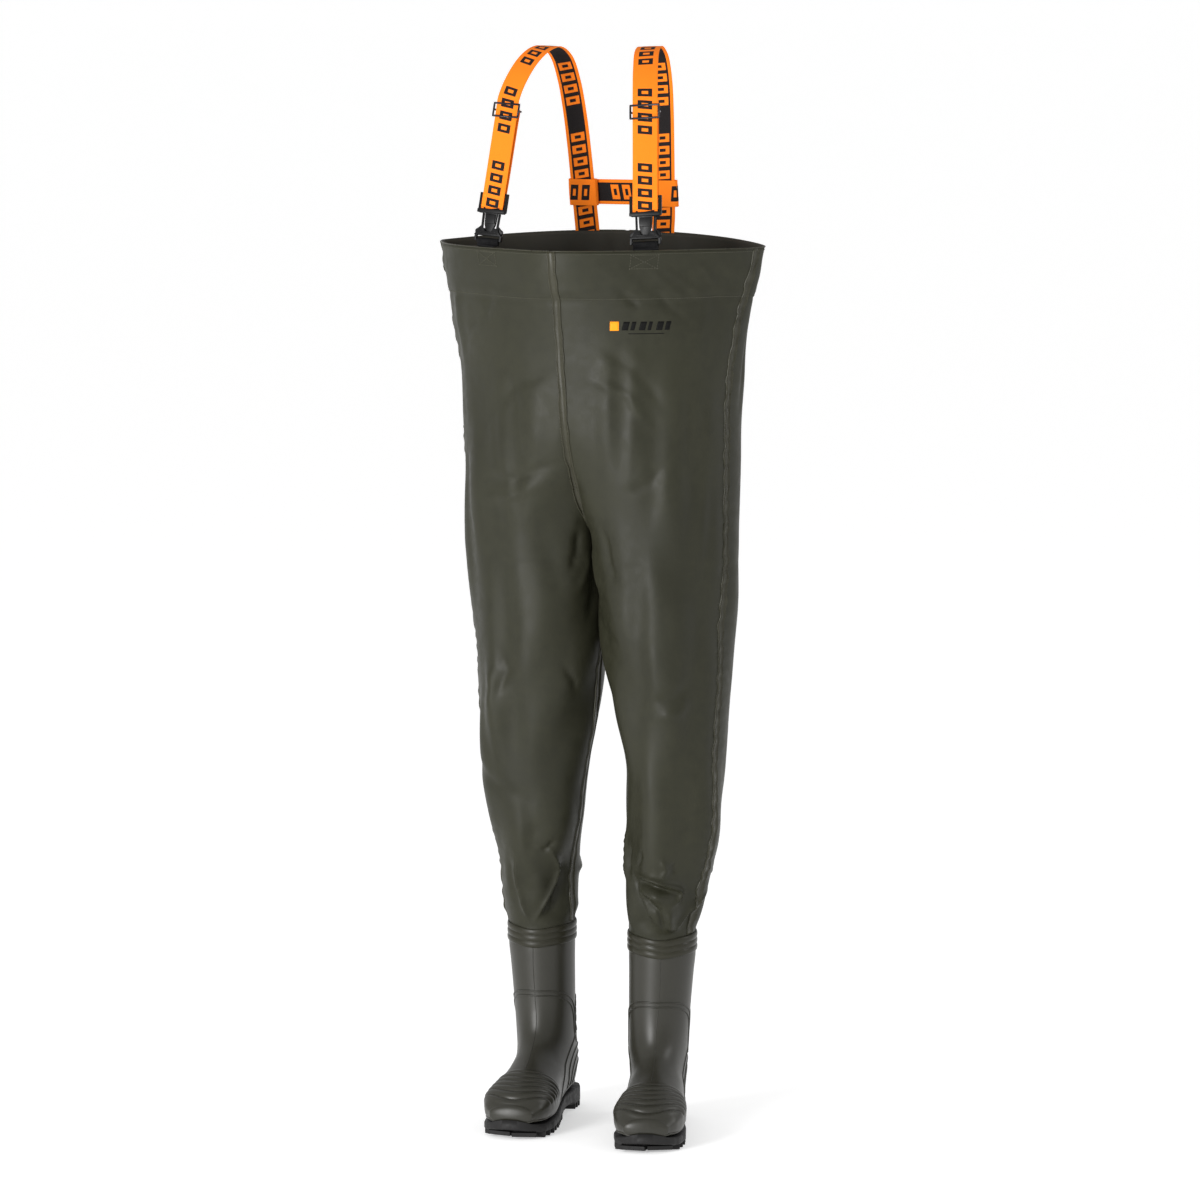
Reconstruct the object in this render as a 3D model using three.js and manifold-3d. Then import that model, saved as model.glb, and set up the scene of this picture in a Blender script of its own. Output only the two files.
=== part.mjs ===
// Chest waders: a welded PVC overall with boots, shoulder straps and clip buckles.
// Millimetres, +Z up, and the wearer faces -Y, so the wearer's left is +X.
// The origin is on the floor, under the middle of the bounding box.
import * as THREE from "three";
import { mergeVertices } from "three/addons/utils/BufferGeometryUtils.js";
import Module from "manifold-3d";

const wasm = await Module();
wasm.setup();

// ------------------------------------------------------------------ driving sizes
const GAP = 0.3; // clearance where two pieces meet
const CLOTH = 1; // wall of the overall

// The overall: heights above the floor, then half widths and depths.
const RIM = 1321;
const CROTCH = 860;
const CUFF = 285;
const CHEST_HALF = 260;
const THIGH_HALF = 103; // also the distance from the centre line to the middle of a thigh
const FRONT_DEPTH = 157; // from the side line to the front, at the rim
const SEAT_DEPTH = 124; // from the side line to the back, at the seat
const BELLY = 25; // how far the middle of the front rim bows out
const SEAM_ANGLE = THREE.MathUtils.degToRad(-12); // the side seams run a little forward

const HEM_DEPTH = 70;
const HEM_GAP = 4; // room for the webbing between the panel and its facing
const TAPE_WIDTH = 12;
const TAPE = 0.8;
const TAPE_GAP = 0.7;

// Boots.
const CUFF_RADIUS = 50;
const CUFF_TILT = 4; // the joint dips this much at the front and rises as much at the back
const CUFF_LAP = 12; // straight part of the leg above the joint
const BAND_BELOW = 17;
const BAND_ABOVE = 11;
const BAND_WALL = 1.2;
const RIB = 1.7;
const BOOT_LENGTH = 295;
const BOOT_WALL = 3.5;
const INSTEP = 136; // height where the shaft meets the foot
const LEAN = 6; // the shaft leans outward by this much
const TOE_IN = 5; // the toe curves inward by this much
const HEEL = 33; // outsole thickness at the heel
const TREAD = 20; // outsole thickness under the ball of the foot
const ARCH = 12;
const CLEAT = 8;
const INSOLE = 3;
const FEET = {
  left: { x: 86, y: 14, turn: THREE.MathUtils.degToRad(19.7) },
  right: { x: -106, y: 30, turn: THREE.MathUtils.degToRad(8.4) },
};

// Webbing, clips and wire adjusters. Heights along a clip start at the rim.
const WEBBING = 38;
const STRAP = 1.5;
const TAB = 1.2;
const STRAP_IN_HEM = 47;
const TAB_IN_HEM = 58;
const TAB_X = 128;
const BACK_STRAP_X = 62;
const WIRE = 3; // diameter of the wire adjuster and of the bars that webbing turns round
const SIDE_PLAY = 1; // between the webbing's edge and a rail
const RAIL = 4;
const CLIP_YAW = THREE.MathUtils.degToRad(8);
const TAB_BAR = 10.5;
const SOCKET_BASE = 17;
const SOCKET_MOUTH = 28;
const SOCKET_HALF_THICK = 4.5;
const TONGUE_END = 22;
const TONGUE_HALF_THICK = 1.8;
const ARM_HALF_THICK = 1.5;
const PLUG_BASE = 50;
const WEB_BAR = 58.5;
const PLUG_TOP = 80;
const ADJUSTER = 203;
const ADJUSTER_HALF_HEIGHT = 9.5;
const STRAIGHT_END = 222; // the strap is straight from the clip to here
const STRAP_RISE = 289; // the tops of the shoulder straps stand this far above the rim
const CROSS_RISE = 72;
const CROSS_HALF_HEIGHT = 20;
const SLEEVE_PLAY = 3;
const SLEEVE_HALF_DEPTH = 3.2;

// ------------------------------------------------------------------ small helpers
const V = (x, y, z) => new THREE.Vector3(x, y, z);
const step = (value, from, to) => THREE.MathUtils.smoothstep(value, from, to);
const along = (a, b, share) => a.clone().lerp(b, share);

// Rows of [key, value, value, ...] become a smooth function of the key.
function smoothRows(rows) {
  const size = rows[0].length - 1;
  const curve = new THREE.CubicInterpolant(
    rows.map((row) => row[0]),
    rows.flatMap((row) => row.slice(1)),
    size,
  );
  return (key) => Array.from(curve.evaluate(key));
}

// Rows of [key, value] become straight lines between the keys, which rise.
function straightRows(rows) {
  return (key) => {
    const next = rows.findIndex((row) => row[0] >= key);
    if (next <= 0) return next === 0 ? rows[0][1] : rows[rows.length - 1][1];
    const [a, b] = [rows[next - 1], rows[next]];
    return THREE.MathUtils.mapLinear(key, a[0], b[0], a[1], b[1]);
  };
}

// A closed mesh from points and triangles, with its faces pointing out.
function closedGeometry(points, triangles) {
  const volume = triangles.reduce((sum, [a, b, c]) => {
    return sum + points[a].dot(points[b].clone().cross(points[c]));
  }, 0);
  const facing = volume < 0 ? triangles.map(([a, b, c]) => [a, c, b]) : triangles;
  const geometry = new THREE.BufferGeometry();
  const positions = points.flatMap((point) => point.toArray());
  geometry.setAttribute("position", new THREE.Float32BufferAttribute(positions, 3));
  geometry.setIndex(facing.flat());
  geometry.computeVertexNormals();
  return geometry;
}

// Two triangles for the square between four corners, given in turn.
const square = (a, b, c, d) => [[a, b, c], [a, c, d]];

// A wall between an outer and an inner sheet of points[row][column].
function sheetGeometry(outer, inner) {
  const rows = outer.length;
  const columns = outer[0].length;
  const at = (row, column, layer) => (layer * rows + row) * columns + column;
  const faces = [];
  for (let row = 0; row + 1 < rows; row += 1) {
    for (let column = 0; column + 1 < columns; column += 1) {
      const corners = [[row, column], [row, column + 1], [row + 1, column + 1], [row + 1, column]];
      faces.push(...square(...corners.map(([r, c]) => at(r, c, 0))));
      faces.push(...square(...corners.map(([r, c]) => at(r, c, 1))).map(([a, b, c]) => [a, c, b]));
    }
    for (const [column, flip] of [[0, true], [columns - 1, false]]) {
      const next = row + 1;
      const edge = [at(row, column, 0), at(row, column, 1), at(next, column, 1), at(next, column, 0)];
      faces.push(...square(...(flip ? edge.reverse() : edge)));
    }
  }
  for (let column = 0; column + 1 < columns; column += 1) {
    for (const [row, flip] of [[0, false], [rows - 1, true]]) {
      const next = column + 1;
      const edge = [at(row, column, 0), at(row, column, 1), at(row, next, 1), at(row, next, 0)];
      faces.push(...square(...(flip ? edge.reverse() : edge)));
    }
  }
  return closedGeometry([...outer.flat(), ...inner.flat()], faces);
}

// A solid through closed loops of points, capped at both ends.
function loftGeometry(loops) {
  const count = loops[0].length;
  const faces = [];
  for (let ring = 0; ring + 1 < loops.length; ring += 1) {
    for (let i = 0; i < count; i += 1) {
      const j = (i + 1) % count;
      const base = ring * count;
      faces.push(...square(base + i, base + j, base + count + j, base + count + i));
    }
  }
  const last = (loops.length - 1) * count;
  for (let i = 1; i + 1 < count; i += 1) {
    faces.push([0, i + 1, i], [last, last + i, last + i + 1]);
  }
  return closedGeometry(loops.flat(), faces);
}

// A cup: outer and inner loops that share a rim and each end in a tip.
function cupGeometry(outer, outerTip, inner, innerTip) {
  const count = outer[0].length;
  const points = [...outer.flat(), ...inner.flat(), outerTip, innerTip];
  const innerStart = outer.length * count;
  const faces = [];
  const wall = (loops, start, tip, flip) => {
    for (let i = 0; i < count; i += 1) {
      const j = (i + 1) % count;
      for (let ring = 0; ring + 1 < loops.length; ring += 1) {
        const base = start + ring * count;
        const corners = [base + i, base + j, base + count + j, base + count + i];
        faces.push(...square(...(flip ? corners.reverse() : corners)));
      }
      const base = start + (loops.length - 1) * count;
      faces.push(flip ? [base + j, base + i, tip] : [base + i, base + j, tip]);
    }
  };
  wall(outer, 0, points.length - 2, false);
  wall(inner, innerStart, points.length - 1, true);
  for (let i = 0; i < count; i += 1) {
    const j = (i + 1) % count;
    faces.push(...square(j, i, innerStart + i, innerStart + j));
  }
  return closedGeometry(points, faces);
}

// A ring whose section is a closed profile: loops[section] joined end to end.
function ringGeometry(loops) {
  const count = loops[0].length;
  const faces = [];
  loops.forEach((_, ring) => {
    const base = ring * count;
    const next = ((ring + 1) % loops.length) * count;
    for (let i = 0; i < count; i += 1) {
      const j = (i + 1) % count;
      faces.push(...square(base + i, base + j, next + j, next + i));
    }
  });
  return closedGeometry(loops.flat(), faces);
}

// Webbing through a list of { point, across }; its outer face is on the across x forward side.
function ribbonGeometry(path, width, thickness) {
  const loops = path.map(({ point, across }, i) => {
    const before = path[Math.max(i - 1, 0)].point;
    const after = path[Math.min(i + 1, path.length - 1)].point;
    const forward = after.clone().sub(before).normalize();
    const side = across.clone().addScaledVector(forward, -across.dot(forward)).normalize();
    const out = side.clone().cross(forward);
    return [[-1, -1], [1, -1], [1, 1], [-1, 1]].map(([u, v]) => {
      const corner = point.clone().addScaledVector(side, (u * width) / 2);
      return corner.addScaledVector(out, (v * thickness) / 2);
    });
  });
  return loftGeometry(loops);
}

// ------------------------------------------------------------------ joins and cuts
function solid(geometry) {
  const bare = geometry.clone();
  bare.deleteAttribute("normal");
  bare.deleteAttribute("uv");
  const merged = mergeVertices(bare, 1e-4);
  const mesh = new wasm.Mesh({
    numProp: 3,
    vertProperties: new Float32Array(merged.attributes.position.array),
    triVerts: new Uint32Array(merged.index.array),
  });
  return new wasm.Manifold(mesh);
}

function geometryOf(manifold) {
  const { vertProperties, triVerts } = manifold.getMesh();
  const geometry = new THREE.BufferGeometry();
  geometry.setAttribute("position", new THREE.Float32BufferAttribute(vertProperties, 3));
  geometry.setIndex(Array.from(triVerts));
  geometry.computeVertexNormals();
  return geometry;
}

const join = (parts) => parts.reduce((whole, part) => whole.add(part));
const cut = (whole, parts) => parts.reduce((left, part) => left.subtract(part), whole);

// A block between two limits on each axis.
function block([x0, x1], [y0, y1], [z0, z1]) {
  const box = new THREE.BoxGeometry(x1 - x0, y1 - y0, z1 - z0);
  return solid(box.translate((x0 + x1) / 2, (y0 + y1) / 2, (z0 + z1) / 2));
}

// A round bar from a to b, with ball ends.
function bar(a, b, diameter, sides = 10) {
  const line = b.clone().sub(a);
  const rod = new THREE.CylinderGeometry(diameter / 2, diameter / 2, line.length(), sides);
  const turn = new THREE.Quaternion().setFromUnitVectors(V(0, 1, 0), line.clone().normalize());
  rod.applyQuaternion(turn).translate(...along(a, b, 0.5).toArray());
  const balls = [a, b].map((end) => {
    return solid(new THREE.IcosahedronGeometry(diameter / 2, 1).translate(...end.toArray()));
  });
  return join([solid(rod), ...balls]);
}

// A plate with an outline of [x, z] points, between two depths.
function plate(outline, y0, y1) {
  const shape = new THREE.Shape(outline.map(([x, z]) => new THREE.Vector2(x, z)));
  const slab = new THREE.ExtrudeGeometry(shape, { depth: y1 - y0, bevelEnabled: false });
  return solid(slab.rotateX(Math.PI / 2).translate(0, y1, 0));
}

// Half an outline, from bottom to top on the +X side, mirrored into a whole one.
const bothSides = (half) => [...half, ...half.map(([x, z]) => [-x, z]).reverse()];

// ------------------------------------------------------------------ materials
const finishes = {
  shell: { color: 0x4c4b3e, roughness: 0.48 },
  tape: { color: 0x515043, roughness: 0.42 },
  boot: { color: 0x5c5b55, roughness: 0.4 },
  band: { color: 0x4f4e44, roughness: 0.45 },
  rubber: { color: 0x2b2a2a, roughness: 0.75 },
  insole: { color: 0x3a3936, roughness: 0.9 },
  tab: { color: 0x18181a, roughness: 0.85 },
  plastic: { color: 0x2a2a2c, roughness: 0.4 },
  steel: { color: 0x3c3d40, roughness: 0.3, metalness: 0.9 },
  webbing: { color: 0xf38a1f, roughness: 0.85 },
};
const materials = Object.fromEntries(
  Object.entries(finishes).map(([name, look]) => [name, new THREE.MeshStandardMaterial(look)]),
);

const waders = new THREE.Group();
function add(name, geometry, finish, parent = waders) {
  const mesh = new THREE.Mesh(geometry, materials[finish]);
  mesh.name = name;
  parent.add(mesh);
  return mesh;
}

// ------------------------------------------------------------------ shape of the overall
const SIDES = { left: 1, right: -1 };

// The middle of each leg's joint with its boot, and the way its wearer's heel points.
function cuffOf(name) {
  const { x, y, turn } = FEET[name];
  const out = SIDES[name] * LEAN;
  return {
    x: SIDES[name] * (x + out * Math.cos(turn)),
    y: y + out * Math.sin(turn),
    heelward: new THREE.Vector2(-Math.sin(turn), Math.cos(turn)),
  };
}

// Sections of a leg, from [share of the height, shift of the middle outward, middle's depth,
// half width, front depth, back depth]; the last three are shares of the driving sizes.
const legShares = {
  left: [
    [0.09, -5, 11, 0.553, 0.382, 0.5],
    [0.197, 2, 9, 0.631, 0.427, 0.565],
    [0.303, 9, 7, 0.689, 0.471, 0.597],
    [0.407, 12, 6, 0.699, 0.497, 0.613],
    [0.513, 12, 7, 0.704, 0.535, 0.661],
    [0.617, 8, 8, 0.777, 0.586, 0.726],
    [0.722, 4.5, 9, 0.874, 0.631, 0.79],
    [0.826, 1, 9, 0.942, 0.662, 0.855],
    [0.93, 0, 8, 0.985, 0.675, 0.903],
    [1, 0, 7, 1, 0.682, 0.927],
  ],
  right: [
    [0.09, 10, 26, 0.495, 0.357, 0.452],
    [0.197, 8, 24, 0.583, 0.408, 0.532],
    [0.303, 8, 20, 0.68, 0.471, 0.597],
    [0.407, 9, 17, 0.738, 0.51, 0.629],
    [0.513, 6, 15, 0.825, 0.561, 0.694],
    [0.617, 2, 13, 0.903, 0.605, 0.75],
    [0.722, -2, 11, 0.947, 0.637, 0.806],
    [0.826, -1.5, 10, 0.966, 0.662, 0.855],
    [0.93, -1, 8, 0.981, 0.675, 0.903],
    [1, 0, 7, 1, 0.682, 0.927],
  ],
};

// Sections of each half of the trunk: [share of the height, middle as a share of the thigh's,
// how far the half width has grown from the thigh's to the chest's, front depth, back depth].
const trunkShares = [
  [0, 1, 0, 0.682, 0.927],
  [0.048, 1, 0.01, 0.7, 0.95],
  [0.106, 0.976, 0.029, 0.72, 0.968],
  [0.193, 0.883, 0.099, 0.764, 1],
  [0.258, 0.796, 0.162, 0.796, 0.992],
  [0.332, 0.666, 0.255, 0.828, 0.984],
  [0.427, 0.388, 0.451, 0.898, 0.944],
  [0.56, 0.175, 0.62, 0.936, 0.903],
  [0.688, 0.039, 0.745, 0.955, 0.855],
  [0.818, 0, 0.845, 0.975, 0.806],
  [1, 0, 1, 1, 0.742],
];
const CROTCH_BACK = 7; // the middle of the crotch is this far behind the side line
const trunkAt = smoothRows(trunkShares);

const legAt = Object.fromEntries(
  Object.keys(SIDES).map((name) => {
    const cuff = cuffOf(name);
    const start = [cuff.x, cuff.y, CUFF_RADIUS, CUFF_RADIUS, CUFF_RADIUS];
    const lap = CUFF_LAP / (CROTCH - CUFF);
    const rows = legShares[name].map(([height, shift, y, half, front, back]) => [
      height,
      THIGH_HALF + shift,
      y,
      half * THIGH_HALF,
      front * FRONT_DEPTH,
      back * SEAT_DEPTH,
    ]);
    return [name, smoothRows([[0, ...start], [lap, ...start], ...rows])];
  }),
);

// The section of one side's half at a height: its middle, half width and two depths.
function sectionAt(name, height) {
  if (height <= CROTCH) {
    const [cx, cy, half, front, back] = legAt[name]((height - CUFF) / (CROTCH - CUFF));
    return { cx, cy, half, front, back };
  }
  const share = (height - CROTCH) / (RIM - CROTCH);
  const [middle, growth, front, back] = trunkAt(share);
  return {
    cx: Math.max(0, middle * THIGH_HALF),
    cy: CROTCH_BACK * (1 - share),
    half: THIGH_HALF + growth * (CHEST_HALF - THIGH_HALF),
    front: front * FRONT_DEPTH,
    back: back * SEAT_DEPTH,
  };
}

// Half the turn of a section: a full circle on a leg, cut off at the centre plane on the trunk.
function reach(name, height) {
  const { cx, half } = sectionAt(name, height);
  return height <= CROTCH ? Math.PI : Math.acos(THREE.MathUtils.clamp(-cx / half, -1, 1));
}

// A point of the overall. The angle runs from the front middle, through the outer side at 0,
// to the back middle. The rim rises at the back, and the cuff is tilted as the boot's top is.
const RIM_RISE = { front: -4, back: 15 };
function skin(name, height, angle) {
  const { cx, cy, half, front, back } = sectionAt(name, height);
  const sine = Math.sin(angle);
  const high = (height - CROTCH) / (RIM - CROTCH);
  const power = 1 + 0.3 * step(high, 0.4, 1);
  const x = cx + half * Math.cos(angle);
  const bow = BELLY * step(high, 0.67, 1) * Math.exp(-((x / 80) ** 2)) * Math.max(0, -sine);
  const depth = sine < 0 ? -front : back;
  const y = cy + depth * Math.abs(sine) ** power - bow;
  const rise = (sine < 0 ? RIM_RISE.front : RIM_RISE.back) * sine * sine;
  const cuff = cuffOf(name);
  const fromCuff = new THREE.Vector2(SIDES[name] * (x - cuff.x), y - cuff.y);
  const dip = fromCuff.dot(cuff.heelward) / CUFF_RADIUS;
  const tilt = CUFF_TILT * dip * (1 - step(height, CUFF + CUFF_LAP, CUFF + 6 * CUFF_LAP));
  return V(SIDES[name] * Math.max(x, GAP / 2), y, height + rise * step(high, 0.4, 1) + tilt);
}

// The outward direction and the direction of growing angle at a point of the overall.
function frameAt(name, height, angle) {
  const turn = 0.02;
  const up = skin(name, Math.min(height + 2, RIM), angle).sub(skin(name, height - 2, angle));
  const { cx, cy, half, front, back } = sectionAt(name, height);
  const round = (a) => V(
    SIDES[name] * half * Math.cos(a),
    (Math.sin(a) < 0 ? front : back) * Math.sin(a),
    0,
  );
  const onward = round(angle + turn).sub(round(angle - turn)).normalize();
  const out = onward.clone().cross(up).normalize();
  const middle = V(SIDES[name] * cx, cy, height);
  if (out.dot(skin(name, height, angle).sub(middle)) < 0) out.negate();
  return { out, onward };
}

// Heights of the rows of points, and how many columns a panel has.
const legRows = [0, 0.0209, 0.06, 0.12, 0.2, 0.3, 0.41, 0.52, 0.63, 0.74, 0.84, 0.93, 1];
const trunkRows = [0.02, 0.05, 0.1, 0.17, 0.25, 0.33, 0.43, 0.56, 0.69, 0.82];
const heights = [
  ...legRows.map((share) => CUFF + share * (CROTCH - CUFF)),
  ...trunkRows.map((share) => CROTCH + share * (RIM - CROTCH)),
  RIM - HEM_DEPTH,
  RIM,
].sort((a, b) => a - b);
heights[1] = CUFF + CUFF_LAP;
const COLUMNS = { front: 10, back: 12 };

// The angles of one panel's columns at a height, from the side seam to the middle.
function panelAngles(name, face, height) {
  const end = (face === "front" ? -1 : 1) * reach(name, height);
  const count = COLUMNS[face];
  return Array.from({ length: count }, (_, i) => {
    return THREE.MathUtils.lerp(SEAM_ANGLE, end, i / (count - 1));
  });
}

// One row of points of a panel, at a depth inside the skin. Its edges keep clear of the next
// panel's by half a gap.
function panelRow(name, face, height, depth) {
  const onwardSign = face === "front" ? -1 : 1;
  return panelAngles(name, face, height).map((angle, column, all) => {
    const { out, onward } = frameAt(name, height, angle);
    const point = skin(name, height, angle).addScaledVector(out, -depth);
    const isSeam = column === 0;
    const isInseam = column === all.length - 1 && height <= CROTCH;
    if (isSeam) point.addScaledVector(onward, (onwardSign * GAP) / 2);
    if (isInseam) point.addScaledVector(onward, (-onwardSign * GAP) / 2);
    if (height === CUFF) point.z += GAP / 2;
    point.x = SIDES[name] * Math.max(SIDES[name] * point.x, GAP / 2);
    return point;
  });
}

const panelGrid = (name, face, depth, rows = heights) => {
  return rows.map((height) => panelRow(name, face, height, depth));
};

function addPanels() {
  for (const name of Object.keys(SIDES)) {
    for (const face of ["front", "back"]) {
      const wall = sheetGeometry(panelGrid(name, face, 0), panelGrid(name, face, CLOTH));
      add(`${face}_${name}_panel`, wall, "shell");
    }
  }
}

// The turned-in band inside the rim, from side seam to side seam through the middle.
function addFacings() {
  const rows = heights.filter((height) => height >= RIM - HEM_DEPTH);
  const across = (face, depth) => rows.map((height) => {
    const left = panelRow("left", face, height, depth);
    const right = panelRow("right", face, height, depth);
    const middle = along(left.at(-1), right.at(-1), 0.5);
    return [...left.slice(0, -1), middle, ...right.slice(0, -1).reverse()];
  });
  const start = CLOTH + HEM_GAP;
  for (const face of ["front", "back"]) {
    const band = sheetGeometry(across(face, start), across(face, start + CLOTH));
    add(`${face}_hem_facing`, band, "shell");
  }
}

// A weld tape over the joint of two panels' outer edges, which are rows of [edge, next] points.
function tapeGeometry(pairs) {
  const reachOut = (TAPE_WIDTH - GAP) / 2;
  const lift = (distance) => pairs.map(({ one, other, out }) => {
    const onto = ([edge, next]) => along(edge, next, reachOut / edge.distanceTo(next));
    const strip = [onto(one), along(one[0], other[0], 0.5), onto(other)];
    return strip.map((point) => point.addScaledVector(out, distance));
  });
  return sheetGeometry(lift(TAPE_GAP + TAPE), lift(TAPE_GAP));
}

function addTapes() {
  const edge = (name, face, height, column) => {
    const row = panelRow(name, face, height, 0);
    return column === 0 ? [row[0], row[1]] : [row.at(-1), row.at(-2)];
  };
  for (const name of Object.keys(SIDES)) {
    const bandTop = heights.filter((height) => height >= CUFF + CUFF_LAP);
    const side = bandTop.map((height) => ({
      one: edge(name, "front", height, 0),
      other: edge(name, "back", height, 0),
      out: frameAt(name, height, SEAM_ANGLE).out,
    }));
    add(`side_seam_tape_${name}`, tapeGeometry(side), "tape");
    const inseamTop = CUFF + 0.85 * (CROTCH - CUFF);
    const inseam = bandTop.filter((height) => height < inseamTop).map((height) => ({
      one: edge(name, "front", height, -1),
      other: edge(name, "back", height, -1),
      out: frameAt(name, height, Math.PI).out,
    }));
    add(`inseam_tape_${name}`, tapeGeometry(inseam), "tape");
  }
  const middleStart = CROTCH + 0.4 * (RIM - CROTCH);
  for (const [face, out] of [["front", V(0, -1, 0)], ["back", V(0, 1, 0)]]) {
    const middle = heights.filter((height) => height > middleStart).map((height) => ({
      one: edge("left", face, height, -1),
      other: edge("right", face, height, -1),
      out,
    }));
    add(`centre_${face}_seam_tape`, tapeGeometry(middle), "tape");
  }
}

// ------------------------------------------------------------------ boots
// Sections down the shaft: [share of the way from the instep up to the cuff, at the front and
// at the back; then front, back and half width as shares of the cuff's radius].
const shaftShares = [
  [1, 1, 1, 1, 1],
  [0.84, 0.84, 1, 1, 1],
  [0.66, 0.66, 0.99, 0.99, 0.97],
  [0.36, 0.33, 0.98, 1, 0.93],
  [0.15, 0, 1.02, 1.08, 0.9],
];
// Sections along the foot: front y and z, back y and z, half width, squareness of the sole side.
// Where the back has no height, it rests on the outsole.
const footSections = [
  [-57, 136, 64, 95, 44, 2.2],
  [-67, 121, 76, 58, 42, 2.4],
  [-80, 110, 62, null, 40, 2.8],
  [-97, 99, 28, null, 41, 3.2],
  [-115, 91, -20, null, 43, 3.4],
  [-135, 84, -70, null, 48, 3.6],
  [-155, 78, -115, null, 51, 3.6],
  [-173, 72, -150, null, 50, 3.6],
  [-190, 64, -182, null, 43, 3.2],
  [-203, 52, -202, null, 28, 2.6],
];
const FOOT_TIP = [-211, 38];
const FOOT_LENGTH = 295; // the length that the foot's stations are written for
const footScale = BOOT_LENGTH / FOOT_LENGTH;
const AROUND = 20;

const soleTop = straightRows([
  [-213, TREAD + 10],
  [-202, TREAD + 4],
  [-182, TREAD + 0.8],
  [-150, TREAD],
  [-115, TREAD],
  [-70, TREAD + 3.5],
  [-20, HEEL - 3.5],
  [28, HEEL],
  [82, HEEL],
]);
const soleBottom = straightRows([
  [-213, 8],
  [-190, 2],
  [-175, 0],
  [-45, 0],
  [-25, ARCH],
  [15, ARCH],
  [25, 0],
  [82, 0],
]);
const soleHalf = straightRows([
  [-213, 12],
  [-209, 23],
  [-202, 33],
  [-193, 41],
  [-180, 48],
  [-150, 53],
  [-105, 50],
  [-60, 42],
  [-20, 37],
  [20, 38],
  [55, 38],
  [68, 33],
  [76, 24],
  [80, 16],
  [82, 8],
]);
const soleStations = [
  -213, -209, -202, -193, -190, -182, -180, -175, -150, -115, -105, -70, -60, -45, -25, -20,
  15, 20, 25, 28, 55, 68, 76, 80, 82,
];

// A point of a boot or sole, which is a mirror image on the right side.
const footPoint = (side, x, y, z) => {
  const toeward = Math.max(0, -y - 60) / (213 - 60);
  return V(side * (x - TOE_IN * toeward), y * footScale, z);
};

function bootSections() {
  const tilt = [CUFF_TILT, CUFF_TILT, 0, 0, 0];
  const shaft = shaftShares.map(([front, back, frontY, backY, half], i) => ({
    front: [(-frontY * CUFF_RADIUS) / footScale, THREE.MathUtils.lerp(INSTEP, CUFF, front) - tilt[i]],
    back: [(backY * CUFF_RADIUS) / footScale, THREE.MathUtils.lerp(INSTEP, CUFF, back) + tilt[i]],
    half: half * CUFF_RADIUS,
    square: 2,
    lean: LEAN * Math.min(1, front / shaftShares[1][0]),
  }));
  shaft[0].front[1] -= GAP / 2;
  shaft[0].back[1] -= GAP / 2;
  const foot = footSections.map(([frontY, frontZ, backY, backZ, half, squareness]) => ({
    front: [frontY, frontZ],
    back: [backY, backZ ?? soleTop(backY) + GAP],
    half,
    square: squareness,
    lean: 0,
  }));
  return [...shaft, ...foot];
}

// One loop of a boot's section, at a depth inside its outer face.
function bootLoop(side, section, depth) {
  const front = new THREE.Vector2(...section.front);
  const back = new THREE.Vector2(...section.back);
  const inward = back.clone().sub(front).normalize().multiplyScalar(depth);
  front.add(inward);
  back.sub(inward);
  return Array.from({ length: AROUND }, (_, i) => {
    const angle = (i / AROUND) * 2 * Math.PI;
    const [cosine, sine] = [Math.cos(angle), Math.sin(angle)];
    const power = cosine < 0 ? 2 / section.square : 1;
    const u = Math.sign(cosine) * Math.abs(cosine) ** power;
    const v = Math.sign(sine) * Math.abs(sine) ** power;
    const [y, z] = back.clone().lerp(front, (1 + u) / 2).toArray();
    return footPoint(side, v * (section.half - depth) + section.lean, y, z);
  });
}

function bootUpper(side) {
  const sections = bootSections();
  const outer = sections.map((section) => bootLoop(side, section, 0));
  const inner = sections.map((section) => bootLoop(side, section, BOOT_WALL));
  const innerTip = footPoint(side, 0, FOOT_TIP[0] + 1.4 * BOOT_WALL, FOOT_TIP[1]);
  return cupGeometry(outer, footPoint(side, 0, ...FOOT_TIP), inner, innerTip);
}

// The outsole, cut across by grooves between its cleats.
const forefootGrooves = { first: -58, pitch: -19.5, count: 6, width: 7 };
const heelGrooves = { first: 38, pitch: 13.5, count: 3, width: 5 };
function outsole(side) {
  const loops = soleStations.map((y) => {
    const [half, top, bottom] = [soleHalf(y), soleTop(y), soleBottom(y)];
    return [[-half, bottom], [half, bottom], [half, top], [-half, top]].map(([x, z]) => {
      return footPoint(side, x, y, z);
    });
  });
  const grooves = [forefootGrooves, heelGrooves].flatMap(({ first, pitch, count, width }) => {
    return Array.from({ length: count }, (_, i) => {
      const y = (first + i * pitch) * footScale;
      return block([-90, 90], [y - width / 2, y + width / 2], [-5, CLEAT]);
    });
  });
  return geometryOf(cut(solid(loftGeometry(loops)), grooves));
}

function insole(side) {
  const clearance = GAP + BOOT_WALL + 2.4;
  const stations = [48, 28, -20, -70, -115, -150, -172];
  const half = straightRows([[-172, 18], [-150, 29], [-115, 30], [-20, 25], [28, 24], [48, 15]]);
  return loftGeometry(stations.map((y) => {
    const bottom = soleTop(y) + clearance;
    const [w, top] = [half(y), bottom + INSOLE];
    return [[-w, bottom], [w, bottom], [w, top], [-w, top]].map(([x, z]) => footPoint(side, x, y, z));
  }));
}

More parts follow.
